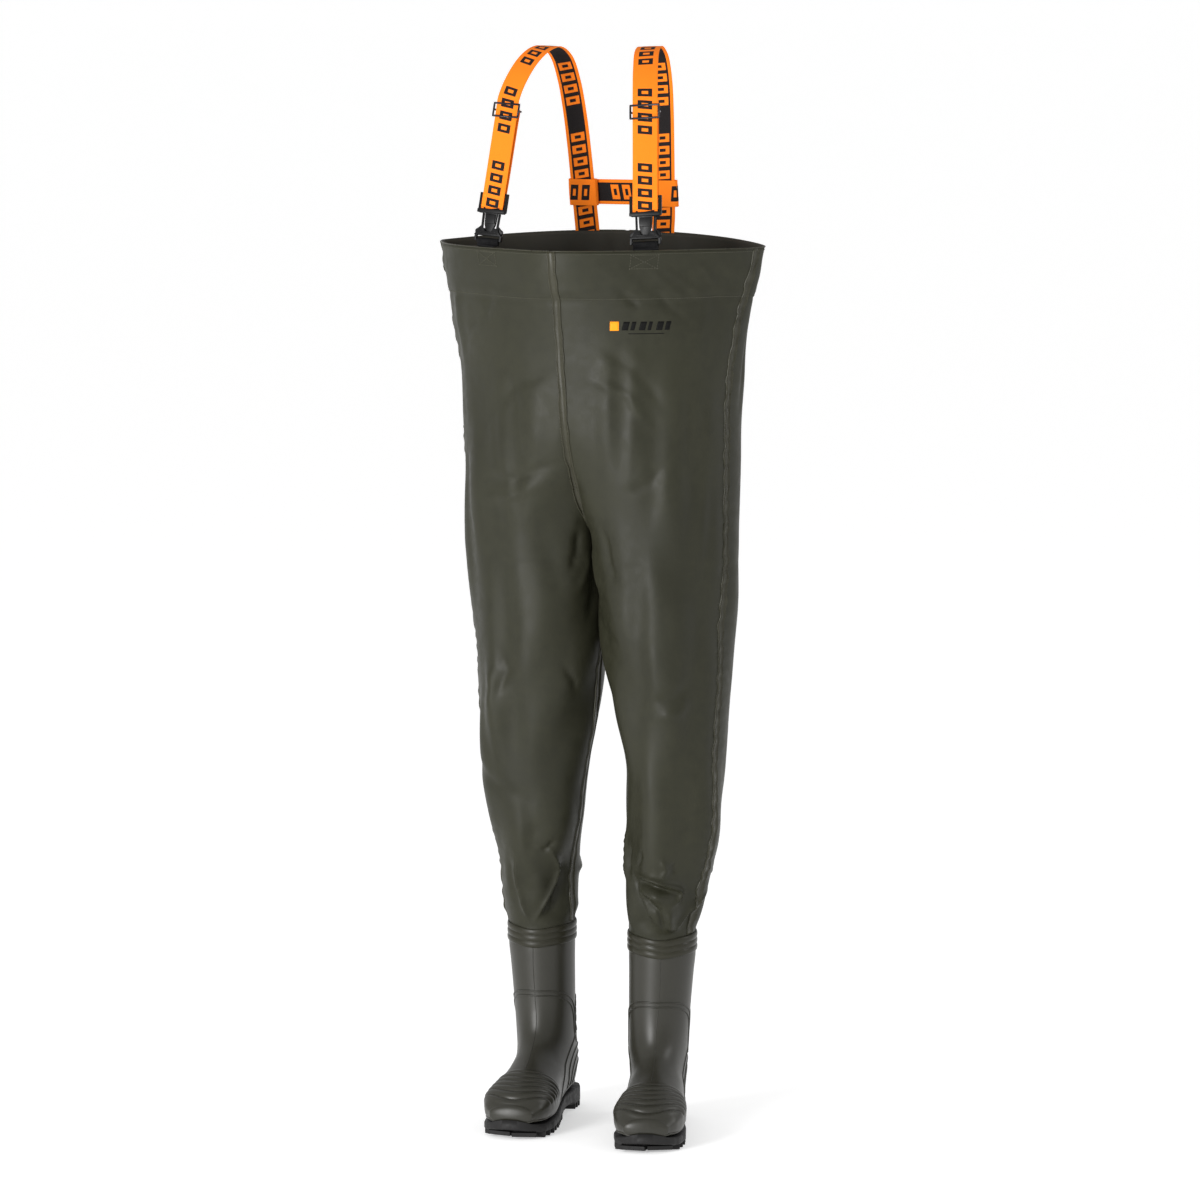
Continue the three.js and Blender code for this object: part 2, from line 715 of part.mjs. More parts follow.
// The ribbed band that is welded over the joint of leg and boot.
function cuffBand(side) {
  const around = 24;
  const inner = (CUFF_RADIUS + GAP) / Math.cos(Math.PI / around);
  const base = inner + BAND_WALL;
  const pitch = (BAND_BELOW + BAND_ABOVE) / 3;
  const ribs = [0, 1, 2].flatMap((i) => {
    const from = -BAND_BELOW + i * pitch;
    return [
      [base, from + 0.12 * pitch],
      [base + RIB, from + 0.3 * pitch],
      [base + RIB, from + 0.7 * pitch],
      [base, from + 0.88 * pitch],
    ];
  });
  const profile = [
    [inner, -BAND_BELOW],
    [base, -BAND_BELOW],
    ...ribs,
    [base, BAND_ABOVE],
    [inner, BAND_ABOVE],
  ];
  return ringGeometry(Array.from({ length: around }, (_, i) => {
    const angle = (i / around) * 2 * Math.PI;
    return profile.map(([radius, z]) => {
      const y = radius * Math.sin(angle);
      return V(side * LEAN + radius * Math.cos(angle), y, CUFF + z + (CUFF_TILT * y) / CUFF_RADIUS);
    });
  }));
}

function addBoots() {
  for (const [name, side] of Object.entries(SIDES)) {
    const boot = new THREE.Group();
    boot.position.set(FEET[name].x, FEET[name].y, 0);
    boot.rotation.z = FEET[name].turn;
    add(`boot_upper_${name}`, bootUpper(side), "boot", boot);
    add(`boot_outsole_${name}`, outsole(side), "rubber", boot);
    add(`boot_insole_${name}`, insole(side), "insole", boot);
    add(`cuff_band_${name}`, cuffBand(side), "band", boot);
    waders.add(boot);
  }
}

// ------------------------------------------------------------------ clips and webbing
// Where webbing lies between a panel and its facing: its middle, and the way across it.
function hemSeat(name, face, x, height) {
  const sign = face === "front" ? -1 : 1;
  const { cx, half } = sectionAt(name, height);
  const at = (distance) => {
    const angle = sign * Math.acos((distance - cx) / half);
    const { out } = frameAt(name, height, angle);
    return skin(name, height, angle).addScaledVector(out, -CLOTH - HEM_GAP / 2);
  };
  const [low, high] = [at(x - WEBBING / 2), at(x + WEBBING / 2)];
  const point = along(at(x), along(low, high, 0.5), 0.5);
  return { point, across: high.sub(low).normalize().multiplyScalar(SIDES[name]) };
}

// The clip's own frame: X across the webbing, -Y away from the wearer, Z up along the strap.
const STRAP_LEAN = { inward: 0.085, backward: 0.19 };
function clipFrame(name) {
  const side = SIDES[name];
  const up = V(-side * STRAP_LEAN.inward, STRAP_LEAN.backward, 1).normalize();
  const back = V(-side * Math.sin(CLIP_YAW), Math.cos(CLIP_YAW), 0);
  back.addScaledVector(up, -back.dot(up)).normalize();
  const frame = new THREE.Matrix4().makeBasis(back.clone().cross(up), back, up);
  return frame.setPosition(hemSeat(name, "front", TAB_X, RIM).point);
}

// Part of a circle round a bar, as [y, z] points of a clip's frame.
function turnRound(y, z, radius, fromAngle, toAngle, steps) {
  return Array.from({ length: steps + 1 }, (_, i) => {
    const angle = THREE.MathUtils.degToRad(THREE.MathUtils.lerp(fromAngle, toAngle, i / steps));
    return [y + radius * Math.cos(angle), z + radius * Math.sin(angle)];
  });
}

// Points of a clip's frame, as a path of webbing in the overall's frame.
function clipPath(name, points) {
  const frame = clipFrame(name);
  const across = V(1, 0, 0).transformDirection(frame);
  return points.map(([y, z]) => ({ point: V(0, y, z).applyMatrix4(frame), across }));
}

const tabTurn = (WIRE + TAB) / 2 + GAP;
const strapTurn = (WIRE + STRAP) / 2 + GAP;
// The adjuster's middle bar is behind the main run, with a layer of webbing between them.
const middleBar = -strapTurn + STRAP / 2 + GAP + STRAP + GAP + WIRE / 2;
const frontBars = -strapTurn - STRAP / 2 - GAP - WIRE / 2;

function tabGeometry(name) {
  const depths = [TAB_IN_HEM, TAB_IN_HEM / 2, 0, -2];
  const hem = depths.map((depth) => hemSeat(name, "front", TAB_X, RIM - depth));
  const loop = [
    [-0.8, 5],
    [-tabTurn, 9],
    ...turnRound(0, TAB_BAR, tabTurn, 180, 0, 6),
    [tabTurn - 0.3, 7],
    [tabTurn - 0.4, 3.5],
  ];
  return ribbonGeometry([...hem, ...clipPath(name, loop)], WEBBING, TAB);
}

function socketGeometry() {
  const rail = WEBBING / 2 + SIDE_PLAY;
  const outline = bothSides([
    [rail + 3, SOCKET_BASE],
    [rail + 1.5, SOCKET_BASE + 2.5],
    [rail - 2, SOCKET_BASE + 6],
    [rail - 3.5, SOCKET_MOUTH],
  ]);
  const rails = [-1, 1].map((side) => {
    const x = [side * rail, side * (rail + 3)].sort((a, b) => a - b);
    return block(x, [-2.5, 2.5], [TAB_BAR - WIRE / 2, SOCKET_BASE + 0.5]);
  });
  const across = bar(V(-rail - 1.5, 0, TAB_BAR), V(rail + 1.5, 0, TAB_BAR), WIRE);
  const body = plate(outline, -SOCKET_HALF_THICK, SOCKET_HALF_THICK);
  const tongueRoom = TONGUE_HALF_THICK + 0.8;
  const armRoom = ARM_HALF_THICK + GAP;
  const above = SOCKET_MOUTH + 1;
  const cavity = block([-11, 11], [-tongueRoom, tongueRoom], [SOCKET_BASE + 2, above]);
  const channel = block([-40, 40], [-armRoom, armRoom], [SOCKET_BASE + 1, above]);
  const round = new THREE.CylinderGeometry(8, 8, 2 * SOCKET_HALF_THICK, 20);
  const roundEnd = solid(round.translate(0, -SOCKET_HALF_THICK, SOCKET_BASE + 12));
  const window = block([-8, 8], [-2 * SOCKET_HALF_THICK, 0], [SOCKET_BASE + 12, above]);
  return geometryOf(cut(join([body, ...rails, across]), [cavity, channel, roundEnd, window]));
}

function plugGeometry() {
  const inside = WEBBING / 2 + SIDE_PLAY;
  const outside = inside + RAIL;
  const rails = [-1, 1].map((side) => {
    const x = [side * inside, side * outside].sort((a, b) => a - b);
    return block(x, [-2, 2], [PLUG_BASE + 2, PLUG_TOP]);
  });
  const lower = plate(
    bothSides([[outside - 3, PLUG_BASE], [outside, PLUG_BASE + 2.5], [outside, PLUG_BASE + 4.5]]),
    -3.2,
    2,
  );
  const upper = block([-outside + 1, outside - 1], [-1.4, 1.4], [PLUG_TOP - 3, PLUG_TOP]);
  const webBar = bar(V(-inside - 1, 0, WEB_BAR), V(inside + 1, 0, WEB_BAR), WIRE);
  const end = 7.5; // radius of the tongue's rounded end
  const tip = [-90, -60, -30, 0].map((degrees) => {
    const angle = THREE.MathUtils.degToRad(degrees);
    const flat = degrees === -90 ? 0.5 : 0;
    return [flat + end * Math.cos(angle), TONGUE_END + end + end * Math.sin(angle)];
  });
  const tongue = plate(
    bothSides([...tip, [9, TONGUE_END + 11], [10.5, PLUG_BASE + 1]]),
    -TONGUE_HALF_THICK,
    TONGUE_HALF_THICK,
  );
  return geometryOf(join([...rails, lower, upper, webBar, tongue]));
}

// A springy arm beside the tongue, with the pad that is squeezed to let go of the socket.
const ARM_TOP = PLUG_BASE - GAP;
function armGeometry(side) {
  const outline = [
    [12.5, ARM_TOP],
    [11.8, 30],
    [12.2, 22],
    [14.5, SOCKET_BASE + 2.2],
    [19.5, SOCKET_BASE + 1.7],
    [23.6, 21.5],
    [23.6, 25],
    [19, 28],
    [14.8, 31.5],
    [15.5, ARM_TOP],
  ];
  return geometryOf(plate(outline.map(([x, z]) => [side * x, z]), -ARM_HALF_THICK, ARM_HALF_THICK));
}

function adjusterGeometry() {
  const half = WEBBING / 2 + SIDE_PLAY + WIRE / 2;
  const corner = (x, z) => V(x * half, frontBars, ADJUSTER + z * ADJUSTER_HALF_HEIGHT);
  const middle = (x) => V(x * half, middleBar, ADJUSTER);
  const frontOf = (x) => V(x * half, frontBars, ADJUSTER);
  return geometryOf(join([
    bar(corner(-1, -1), corner(1, -1), WIRE),
    bar(corner(-1, 1), corner(1, 1), WIRE),
    bar(corner(-1, -1), corner(-1, 1), WIRE),
    bar(corner(1, -1), corner(1, 1), WIRE),
    bar(frontOf(-1), middle(-1), WIRE),
    bar(frontOf(1), middle(1), WIRE),
    bar(middle(-1), middle(1), WIRE),
  ]));
}

// The shoulder strap's run from the clip over the shoulder to the back rim.
const STRAP_TOP = RIM + STRAP_RISE;
const shoulder = [
  [97, -62, STRAP_TOP - 27],
  [87, -33, STRAP_TOP - 5],
  [81, -5, STRAP_TOP],
  [77, 25, STRAP_TOP - 15],
  [74, 46, STRAP_TOP - 50],
  [71, 59, STRAP_TOP - 95],
  [68, 69, STRAP_TOP - 150],
  [65.5, 77, STRAP_TOP - 205],
  [63.5, 83.5, STRAP_TOP - 250],
];
const SHOULDER_STEPS = 34;

function strapPath(name) {
  const returned = [
    [middleBar - strapTurn, ADJUSTER - 13],
    ...turnRound(middleBar, ADJUSTER, strapTurn, 180, 0, 6),
    [middleBar + strapTurn - 0.4, ADJUSTER - 15],
    [strapTurn + 0.6, PLUG_TOP + 22],
    [strapTurn, PLUG_TOP + 2],
    ...turnRound(0, WEB_BAR, strapTurn, 0, -180, 6),
  ];
  const straight = [PLUG_BASE + 28, PLUG_TOP + 40, ADJUSTER - 30, ADJUSTER, STRAIGHT_END];
  const front = clipPath(name, [...returned, ...straight.map((z) => [-strapTurn, z])]);
  const hem = [0, STRAP_IN_HEM / 2, STRAP_IN_HEM].map((depth) => {
    return hemSeat(name, "back", BACK_STRAP_X, RIM - depth);
  });
  const over = shoulder.map(([x, y, z]) => V(SIDES[name] * x, y, z));
  const curve = new THREE.CatmullRomCurve3([
    front.at(-2).point,
    front.at(-1).point,
    ...over,
    hem[0].point,
    hem[1].point,
  ], false, "centripetal");
  const first = 1 / (over.length + 3);
  const last = 1 - first;
  const [start, end] = [front.at(-1).across, hem[0].across];
  const arch = Array.from({ length: SHOULDER_STEPS - 1 }, (_, i) => {
    const share = (i + 1) / SHOULDER_STEPS;
    const point = curve.getPoint(THREE.MathUtils.lerp(first, last, share));
    return { point, across: along(start, end, share) };
  });
  return [...front, ...arch, ...hem];
}

function addSuspension() {
  for (const name of Object.keys(SIDES)) {
    add(`front_tab_webbing_${name}`, tabGeometry(name), "tab");
    const clip = new THREE.Group();
    clip.applyMatrix4(clipFrame(name));
    add(`buckle_socket_${name}`, socketGeometry(), "plastic", clip);
    add(`buckle_plug_${name}`, plugGeometry(), "plastic", clip);
    add(`latch_arm_${name}_outer`, armGeometry(SIDES[name]), "plastic", clip);
    add(`latch_arm_${name}_inner`, armGeometry(-SIDES[name]), "plastic", clip);
    add(`strap_adjuster_${name}`, adjusterGeometry(), "steel", clip);
    waders.add(clip);
    add(`shoulder_strap_${name}`, ribbonGeometry(strapPath(name), WEBBING, STRAP), "webbing");
  }
}

// The strap across the back, whose sleeves slide on the shoulder straps.
const CROSS_HEIGHT = RIM + CROSS_RISE;
function addCrossStrap() {
  const path = strapPath("left").slice(-SHOULDER_STEPS).map(({ point }) => point);
  const above = path.findLastIndex((point) => point.z > CROSS_HEIGHT);
  const [high, low] = [path[above], path[above + 1]];
  const centre = along(high, low, (high.z - CROSS_HEIGHT) / (high.z - low.z));
  const wide = WEBBING / 2 + SLEEVE_PLAY;
  const deep = SLEEVE_HALF_DEPTH;
  const sleeve = (side) => {
    const spans = (half, depth, height) => [
      [side * centre.x - half, side * centre.x + half],
      [-depth, depth],
      [-height, height],
    ];
    const outer = block(...spans(wide + STRAP, deep + STRAP, CROSS_HALF_HEIGHT));
    return cut(outer, [block(...spans(wide, deep, CROSS_HALF_HEIGHT + 1))]);
  };
  const span = centre.x - wide;
  const web = block([-span, span], [deep, deep + STRAP], [-WEBBING / 2, WEBBING / 2]);
  const strap = add("cross_strap", geometryOf(join([sleeve(-1), sleeve(1), web])), "webbing");
  strap.position.set(0, centre.y, centre.z);
  strap.rotation.x = Math.atan2(low.y - high.y, high.z - low.z);
}

addPanels();
addFacings();
addTapes();
addBoots();
addSuspension();
addCrossStrap();

// Stand the whole on the floor, with its box centred on the vertical axis.
waders.updateMatrixWorld(true);
const centred = new THREE.Group();
const whole = new THREE.Box3().setFromObject(waders, true);
waders.position.set(-(whole.min.x + whole.max.x) / 2, -(whole.min.y + whole.max.y) / 2, -whole.min.z);
centred.add(waders);

export default centred;
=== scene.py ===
"""The looks of a pair of chest waders: a welded overall, its boots, straps, clips and adjusters.

Metres, +Z up. The wearer faces -Y, so the wearer's left is +X. Tables of the shape are in
millimetres or in shares, as their headings say.
"""
import math

import bmesh
import bpy
import numpy as np
from mathutils import Matrix, Vector
from mathutils.bvhtree import BVHTree


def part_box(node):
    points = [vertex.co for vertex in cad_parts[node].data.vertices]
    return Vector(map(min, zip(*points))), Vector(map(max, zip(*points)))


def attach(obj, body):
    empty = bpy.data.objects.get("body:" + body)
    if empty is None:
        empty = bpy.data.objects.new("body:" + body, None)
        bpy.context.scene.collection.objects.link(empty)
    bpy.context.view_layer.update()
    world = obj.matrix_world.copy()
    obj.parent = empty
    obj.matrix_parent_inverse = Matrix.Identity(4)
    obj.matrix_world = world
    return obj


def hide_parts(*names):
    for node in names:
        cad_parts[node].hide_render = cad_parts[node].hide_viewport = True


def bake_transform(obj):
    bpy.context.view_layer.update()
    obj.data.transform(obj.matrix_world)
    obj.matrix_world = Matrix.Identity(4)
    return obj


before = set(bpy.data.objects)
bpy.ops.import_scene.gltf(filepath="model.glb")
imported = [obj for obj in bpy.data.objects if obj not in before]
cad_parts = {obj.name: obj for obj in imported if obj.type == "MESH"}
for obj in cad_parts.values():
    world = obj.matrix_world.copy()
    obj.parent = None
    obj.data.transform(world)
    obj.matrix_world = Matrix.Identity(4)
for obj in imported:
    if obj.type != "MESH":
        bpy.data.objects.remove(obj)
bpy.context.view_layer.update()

# ------------------------------------------------------------------ sizes
MM = 0.001
GAP = 0.0003
CLOTH = 0.001
RIM = 1.321
CROTCH = 0.860
CUFF = 0.285
CHEST_HALF = 0.260
THIGH_HALF = 0.103
FRONT_DEPTH = 0.157
SEAT_DEPTH = 0.124
BELLY = 0.025
SEAM_ANGLE = math.radians(-12)
HEM_DEPTH = 0.070
HEM_GAP = 0.004

CUFF_RADIUS = 0.050
CUFF_TILT = 0.004
CUFF_LAP = 0.012
BAND_BELOW = 0.017
BAND_ABOVE = 0.011
BOOT_WALL = 0.0035
INSTEP = 0.136
LEAN = 0.006
FEET = {1: (0.086, 0.014, math.radians(19.7)), -1: (-0.106, 0.030, math.radians(8.4))}

WEBBING = 0.038
STRAP = 0.0015
TAB = 0.0012
STRAP_IN_HEM = 0.047
TAB_X = 0.128
BACK_STRAP_X = 0.062
WIRE = 0.003
CLIP_YAW = math.radians(8)
TAB_BAR = 0.0105
WEB_BAR = 0.0585
PLUG_TOP = 0.080
ADJUSTER = 0.203
STRAIGHT_END = 0.222
STRAP_TOP = RIM + 0.289
CROSS_HEIGHT = RIM + 0.072

SIDES = {"left": 1, "right": -1}
WADERS = "waders"


# ------------------------------------------------------------------ small helpers
def smoothstep(value, low, high):
    """0 up to a low value and 1 from a high one, with a smooth rise between them."""
    t = np.clip((np.asarray(value, float) - low) / (high - low), 0, 1)
    return t * t * (3 - 2 * t)


def smooth_rows(rows):
    """Rows of [key, value, ...] as a smooth function of the key, which may be an array."""
    table = np.array(rows, float)
    keys, values = table[:, 0], table[:, 1:]
    slopes = np.diff(values, axis=0) / np.diff(keys)[:, None]
    tangents = np.vstack([slopes[:1], (slopes[:-1] + slopes[1:]) / 2, slopes[-1:]])

    def at(key):
        key = np.clip(np.asarray(key, float), keys[0], keys[-1])
        i = np.clip(np.searchsorted(keys, key, side="right") - 1, 0, len(keys) - 2)
        span = (keys[i + 1] - keys[i])[..., None]
        t = (key - keys[i])[..., None] / span
        line = values[i] * (2 * t**3 - 3 * t**2 + 1) + values[i + 1] * (3 * t**2 - 2 * t**3)
        return line + span * (
            tangents[i] * (t**3 - 2 * t**2 + t) + tangents[i + 1] * (t**3 - t**2)
        )

    return at


def unit(vectors):
    return vectors / np.maximum(np.linalg.norm(vectors, axis=-1, keepdims=True), 1e-12)


def lerp(a, b, share):
    return a + (b - a) * share


def mesh_piece(name, points, faces, material, smooth=True):
    """A mesh object in the scene, with its place in its points."""
    mesh = bpy.data.meshes.new(name)
    mesh.from_pydata(np.asarray(points).reshape(-1, 3).tolist(), [], np.asarray(faces).tolist())
    mesh.validate()
    mesh.update()
    mesh.shade_smooth() if smooth else mesh.shade_flat()
    mesh.materials.append(material)
    piece = bpy.data.objects.new(name, mesh)
    bpy.context.scene.collection.objects.link(piece)
    return piece


def outward(piece):
    """Turns a closed mesh's faces to point out."""
    work = bmesh.new()
    work.from_mesh(piece.data)
    bmesh.ops.recalc_face_normals(work, faces=work.faces)
    work.to_mesh(piece.data)
    work.free()
    return piece


def quads(rows, columns, start=0, wrap=False):
    """The faces of a grid of points, whose columns may close into a ring."""
    row, column = np.meshgrid(np.arange(rows - 1), np.arange(columns if wrap else columns - 1),
                              indexing="ij")
    onward = (column + 1) % columns
    corners = [row * columns + column, row * columns + onward,
               (row + 1) * columns + onward, (row + 1) * columns + column]
    return np.stack(corners, -1).reshape(-1, 4) + start


def wall(name, outer, inner, material):
    """A sheet between two grids of points, closed round its four edges."""
    rows, columns = outer.shape[:2]
    count = rows * columns
    index = np.arange(count).reshape(rows, columns)
    ring = np.concatenate([index[0, :-1], index[:-1, -1], index[-1, :0:-1], index[:0:-1, 0]])
    following = np.roll(ring, -1)
    edge = np.stack([ring, ring + count, following + count, following], -1)
    faces = np.vstack([quads(rows, columns), quads(rows, columns, count)[:, ::-1], edge])
    points = np.concatenate([outer.reshape(-1, 3), inner.reshape(-1, 3)])
    return outward(mesh_piece(name, points, faces, material))


def tube(name, loops, material, caps=True):
    """A solid through closed loops of points[ring][around], capped at both ends."""
    loops = np.asarray(loops)
    rings, around = loops.shape[:2]
    faces = quads(rings, around, wrap=True).tolist()
    if caps:
        faces += [list(range(around))[::-1], list(range((rings - 1) * around, rings * around))]
    mesh = bpy.data.meshes.new(name)
    mesh.from_pydata(loops.reshape(-1, 3).tolist(), [], faces)
    mesh.update()
    mesh.shade_smooth()
    mesh.materials.append(material)
    piece = bpy.data.objects.new(name, mesh)
    bpy.context.scene.collection.objects.link(piece)
    return outward(piece)


def merge(name, pieces):
    """Several pieces as one mesh; their materials are kept."""
    work = bmesh.new()
    materials = []
    for piece in pieces:
        mesh = piece.data
        for slot in mesh.materials:
            if slot not in materials:
                materials.append(slot)
        places = [materials.index(slot) for slot in mesh.materials]
        first = len(work.faces)
        work.from_mesh(mesh)
        work.faces.ensure_lookup_table()
        for face in work.faces[first:]:
            face.material_index = places[face.material_index] if places else 0
        bpy.data.objects.remove(piece)
    mesh = bpy.data.meshes.new(name)
    work.to_mesh(mesh)
    work.free()
    for material in materials:
        mesh.materials.append(material)
    whole = bpy.data.objects.new(name, mesh)
    bpy.context.scene.collection.objects.link(whole)
    return whole


def plain(piece):
    """The piece with its modifiers worked out, as a plain mesh."""
    graph = bpy.context.evaluated_depsgraph_get()
    mesh = bpy.data.meshes.new_from_object(piece.evaluated_get(graph))
    piece.modifiers.clear()
    piece.data = mesh
    return piece


# ------------------------------------------------------------------ shader maths
class Link:
    """A shader socket that can be used in an expression."""

    def __init__(self, graph, socket):
        self.graph, self.socket = graph, socket

    def _math(self, operation, *values):
        return self.graph.node("ShaderNodeMath", {"operation": operation}, list(values))

    def __add__(self, other):
        return self._math("ADD", self, other)

    def __radd__(self, other):
        return self._math("ADD", other, self)

    def __sub__(self, other):
        return self._math("SUBTRACT", self, other)

    def __rsub__(self, other):
        return self._math("SUBTRACT", other, self)

    def __mul__(self, other):
        return self._math("MULTIPLY", self, other)

    def __rmul__(self, other):
        return self._math("MULTIPLY", other, self)

    def __truediv__(self, other):
        return self._math("DIVIDE", self, other)

    def __mod__(self, other):
        return self._math("FLOORED_MODULO", self, other)

    def above(self, limit):
        return self._math("GREATER_THAN", self, limit)

    def below(self, limit):
        return self._math("LESS_THAN", self, limit)

    def wave(self):
        return self._math("SINE", self)

    def ramp(self, low, high, to_low=0.0, to_high=1.0):
        values = [self, low, high, to_low, to_high]
        return self.graph.node("ShaderNodeMapRange", {"interpolation_type": "SMOOTHSTEP"}, values)


class Finish:
    """A material, built node by node round one Principled shader."""

    def __init__(self, name, constants=None):
        self.material = bpy.data.materials.new(name)
        self.material.use_nodes = True
        self.tree = self.material.node_tree
        self.shader = self.tree.nodes["Principled BSDF"]
        for key, value in (constants or {}).items():
            self.set(key, value)

    def set(self, socket, value):
        if isinstance(value, Link):
            self.tree.links.new(value.socket, self.shader.inputs[socket])
        else:
            self.shader.inputs[socket].default_value = value

    def node(self, kind, settings=None, inputs=None, output=0):
        node = self.tree.nodes.new(kind)
        for key, value in (settings or {}).items():
            setattr(node, key, value)
        pairs = inputs.items() if isinstance(inputs, dict) else enumerate(inputs or [])
        for key, value in pairs:
            if isinstance(value, Link):
                self.tree.links.new(value.socket, node.inputs[key])
            else:
                node.inputs[key].default_value = value
        return Link(self, node.outputs[output])

    def place(self):
        return self.node("ShaderNodeTexCoord", output="Object")

    def uv(self):
        return [self.node("ShaderNodeSeparateXYZ", {}, [self.node("ShaderNodeTexCoord", output="UV")],
                          axis) for axis in ("X", "Y")]

    def noise(self, scale, detail=3.0, roughness=0.55, place=None):
        inputs = {"Vector": place or self.place(), "Scale": scale, "Detail": detail,
                  "Roughness": roughness}
        return self.node("ShaderNodeTexNoise", {}, inputs)

    def mix(self, share, a, b):
        node = self.tree.nodes.new("ShaderNodeMix")
        node.data_type = "RGBA"
        for socket, value in ((node.inputs[0], share), (node.inputs[6], a), (node.inputs[7], b)):
            if isinstance(value, Link):
                self.tree.links.new(value.socket, socket)
            else:
                socket.default_value = value
        return Link(self, node.outputs[2])

    def bump(self, height, distance, strength=1.0):
        inputs = {"Height": height, "Distance": distance, "Strength": strength}
        self.set("Normal", self.node("ShaderNodeBump", {}, inputs))


def colour(red, green, blue):
    """A colour given as it looks on a screen, from 0 to 255."""
    return tuple(((v / 255 + 0.055) / 1.055) ** 2.4 if v > 10 else v / 255 / 12.92
                 for v in (red, green, blue)) + (1.0,)


def coated_cloth(name, tint, roughness, grain=1.0):
    """Satin PVC: a fine pebbled grain, soft shade changes and a little dust."""
    finish = Finish(name, {"Specular IOR Level": 0.2})
    broad = finish.noise(5.0, 2.0)
    fine = finish.noise(60.0, 4.0)
    pebble = finish.node("ShaderNodeTexVoronoi", {}, {"Vector": finish.place(), "Scale": 1100.0})
    worn = (broad * 0.6 + fine * 0.4).ramp(0.38, 0.66)
    dark = tuple(c * 0.88 for c in tint[:3]) + (1.0,)
    light = tuple(c * 1.12 for c in tint[:3]) + (1.0,)
    finish.set("Base Color", finish.mix(worn, dark, light))
    finish.set("Roughness", fine.ramp(0.3, 0.7, roughness - 0.05, roughness + 0.06))
    finish.bump(pebble * 0.6 + finish.noise(420.0, 3.0) * 0.8, 0.00012 * grain, 0.55)
    return finish.material


def moulded(name, tint, roughness, speckle=0.1, metallic=0.0, grain=0.00006, shine=0.5):
    """A moulded, cast or drawn part with small changes of shade and gloss."""
    finish = Finish(name, {"Metallic": metallic, "Specular IOR Level": shine})
    fine = finish.noise(160.0, 5.0)
    broad = finish.noise(24.0, 2.0)
    dark = tuple(c * (1 - speckle) for c in tint[:3]) + (1.0,)
    light = tuple(c * (1 + speckle) for c in tint[:3]) + (1.0,)
    finish.set("Base Color", finish.mix((fine * 0.5 + broad * 0.5).ramp(0.35, 0.65), dark, light))
    spread = speckle / 2
    finish.set("Roughness", fine.ramp(0.3, 0.7, roughness - spread, roughness + spread))
    finish.bump(finish.noise(900.0, 3.0), grain, 0.5)
    return finish.material


ORANGE = colour(255, 130, 20)
INK = colour(14, 11, 12)
PATTERN_STEP = 0.0185  # from one bar of the woven pattern to the next
GROUP = 0.111  # a group of bars and the bare webbing after it


def webbing_finish(name):
    """Woven elastic: UV U runs across the face, 0 to 1 outside and 1 to 2 inside; V is metres."""
    finish = Finish(name, {"Roughness": 0.82, "Specular IOR Level": 0.25})
    u, v = finish.uv()
    inside = u.above(1.0)
    across = u % 1.0
    middle = across.above(0.21) * across.below(0.79)
    slant = v + across * 0.005
    step = (slant / PATTERN_STEP) % 1.0
    group = (slant / GROUP) % 1.0
    bars = middle * step.above(0.16) * step.below(0.84) * group.below(0.668)
    hollow = across.above(0.37) * across.below(0.63) * step.above(0.37) * step.below(0.63)
    bars = bars * (1 - hollow)
    edge = across.below(0.13) + across.above(0.87)
    black_face = (1 - edge) * (1 - bars)
    dark = inside * black_face + (1 - inside) * bars
    fuzz = finish.noise(900.0, 2.0)
    thread = finish.mix(fuzz.ramp(0.3, 0.7), tuple(c * 0.9 for c in ORANGE[:3]) + (1.0,), ORANGE)
    ink = finish.mix(fuzz.ramp(0.3, 0.7), INK, colour(30, 25, 25))
    finish.set("Base Color", finish.mix(dark, thread, ink))
    rows = (v * (2 * math.pi / 0.0011)).wave() * 0.5
    columns = (across * (2 * math.pi * 26)).wave() * 0.5
    finish.bump(rows * columns + rows * 0.4, 0.00016, 0.6)
    return finish.material


SHELL = coated_cloth("olive coated cloth", colour(41, 41, 30), 0.47)
INSIDE = coated_cloth("cloth lining", colour(52, 50, 43), 0.6)
TAPE = coated_cloth("weld tape", colour(51, 50, 39), 0.3, 0.5)
BAND = coated_cloth("cuff band compound", colour(43, 42, 33), 0.32, 0.4)
BOOT = moulded("boot compound", colour(41, 40, 33), 0.38, 0.04, grain=0.000002, shine=0.4)
RUBBER = moulded("sole rubber", colour(24, 23, 23), 0.6, 0.2, grain=0.00005, shine=0.3)
FOAM = moulded("insole foam", colour(58, 56, 52), 0.9, 0.2, grain=0.0002)
PLASTIC = moulded("clip plastic", colour(13, 13, 14), 0.42, 0.1, grain=0.000004, shine=0.25)
STEEL = moulded("plated wire", colour(58, 58, 63), 0.26, 0.15, 1.0, 0.00002)
THREAD = moulded("hem thread", colour(66, 65, 52), 0.7, 0.2)
TAB_WEB = moulded("black webbing", colour(12, 12, 13), 0.85, 0.3, grain=0.0003, shine=0.15)
STRAPS = webbing_finish("woven shoulder webbing")
MARK_DARK = moulded("dark print", colour(14, 14, 13), 0.6, 0.1, shine=0.1)
MARK_BRIGHT = moulded("orange print", colour(248, 150, 22), 0.6, 0.05, shine=0.2)


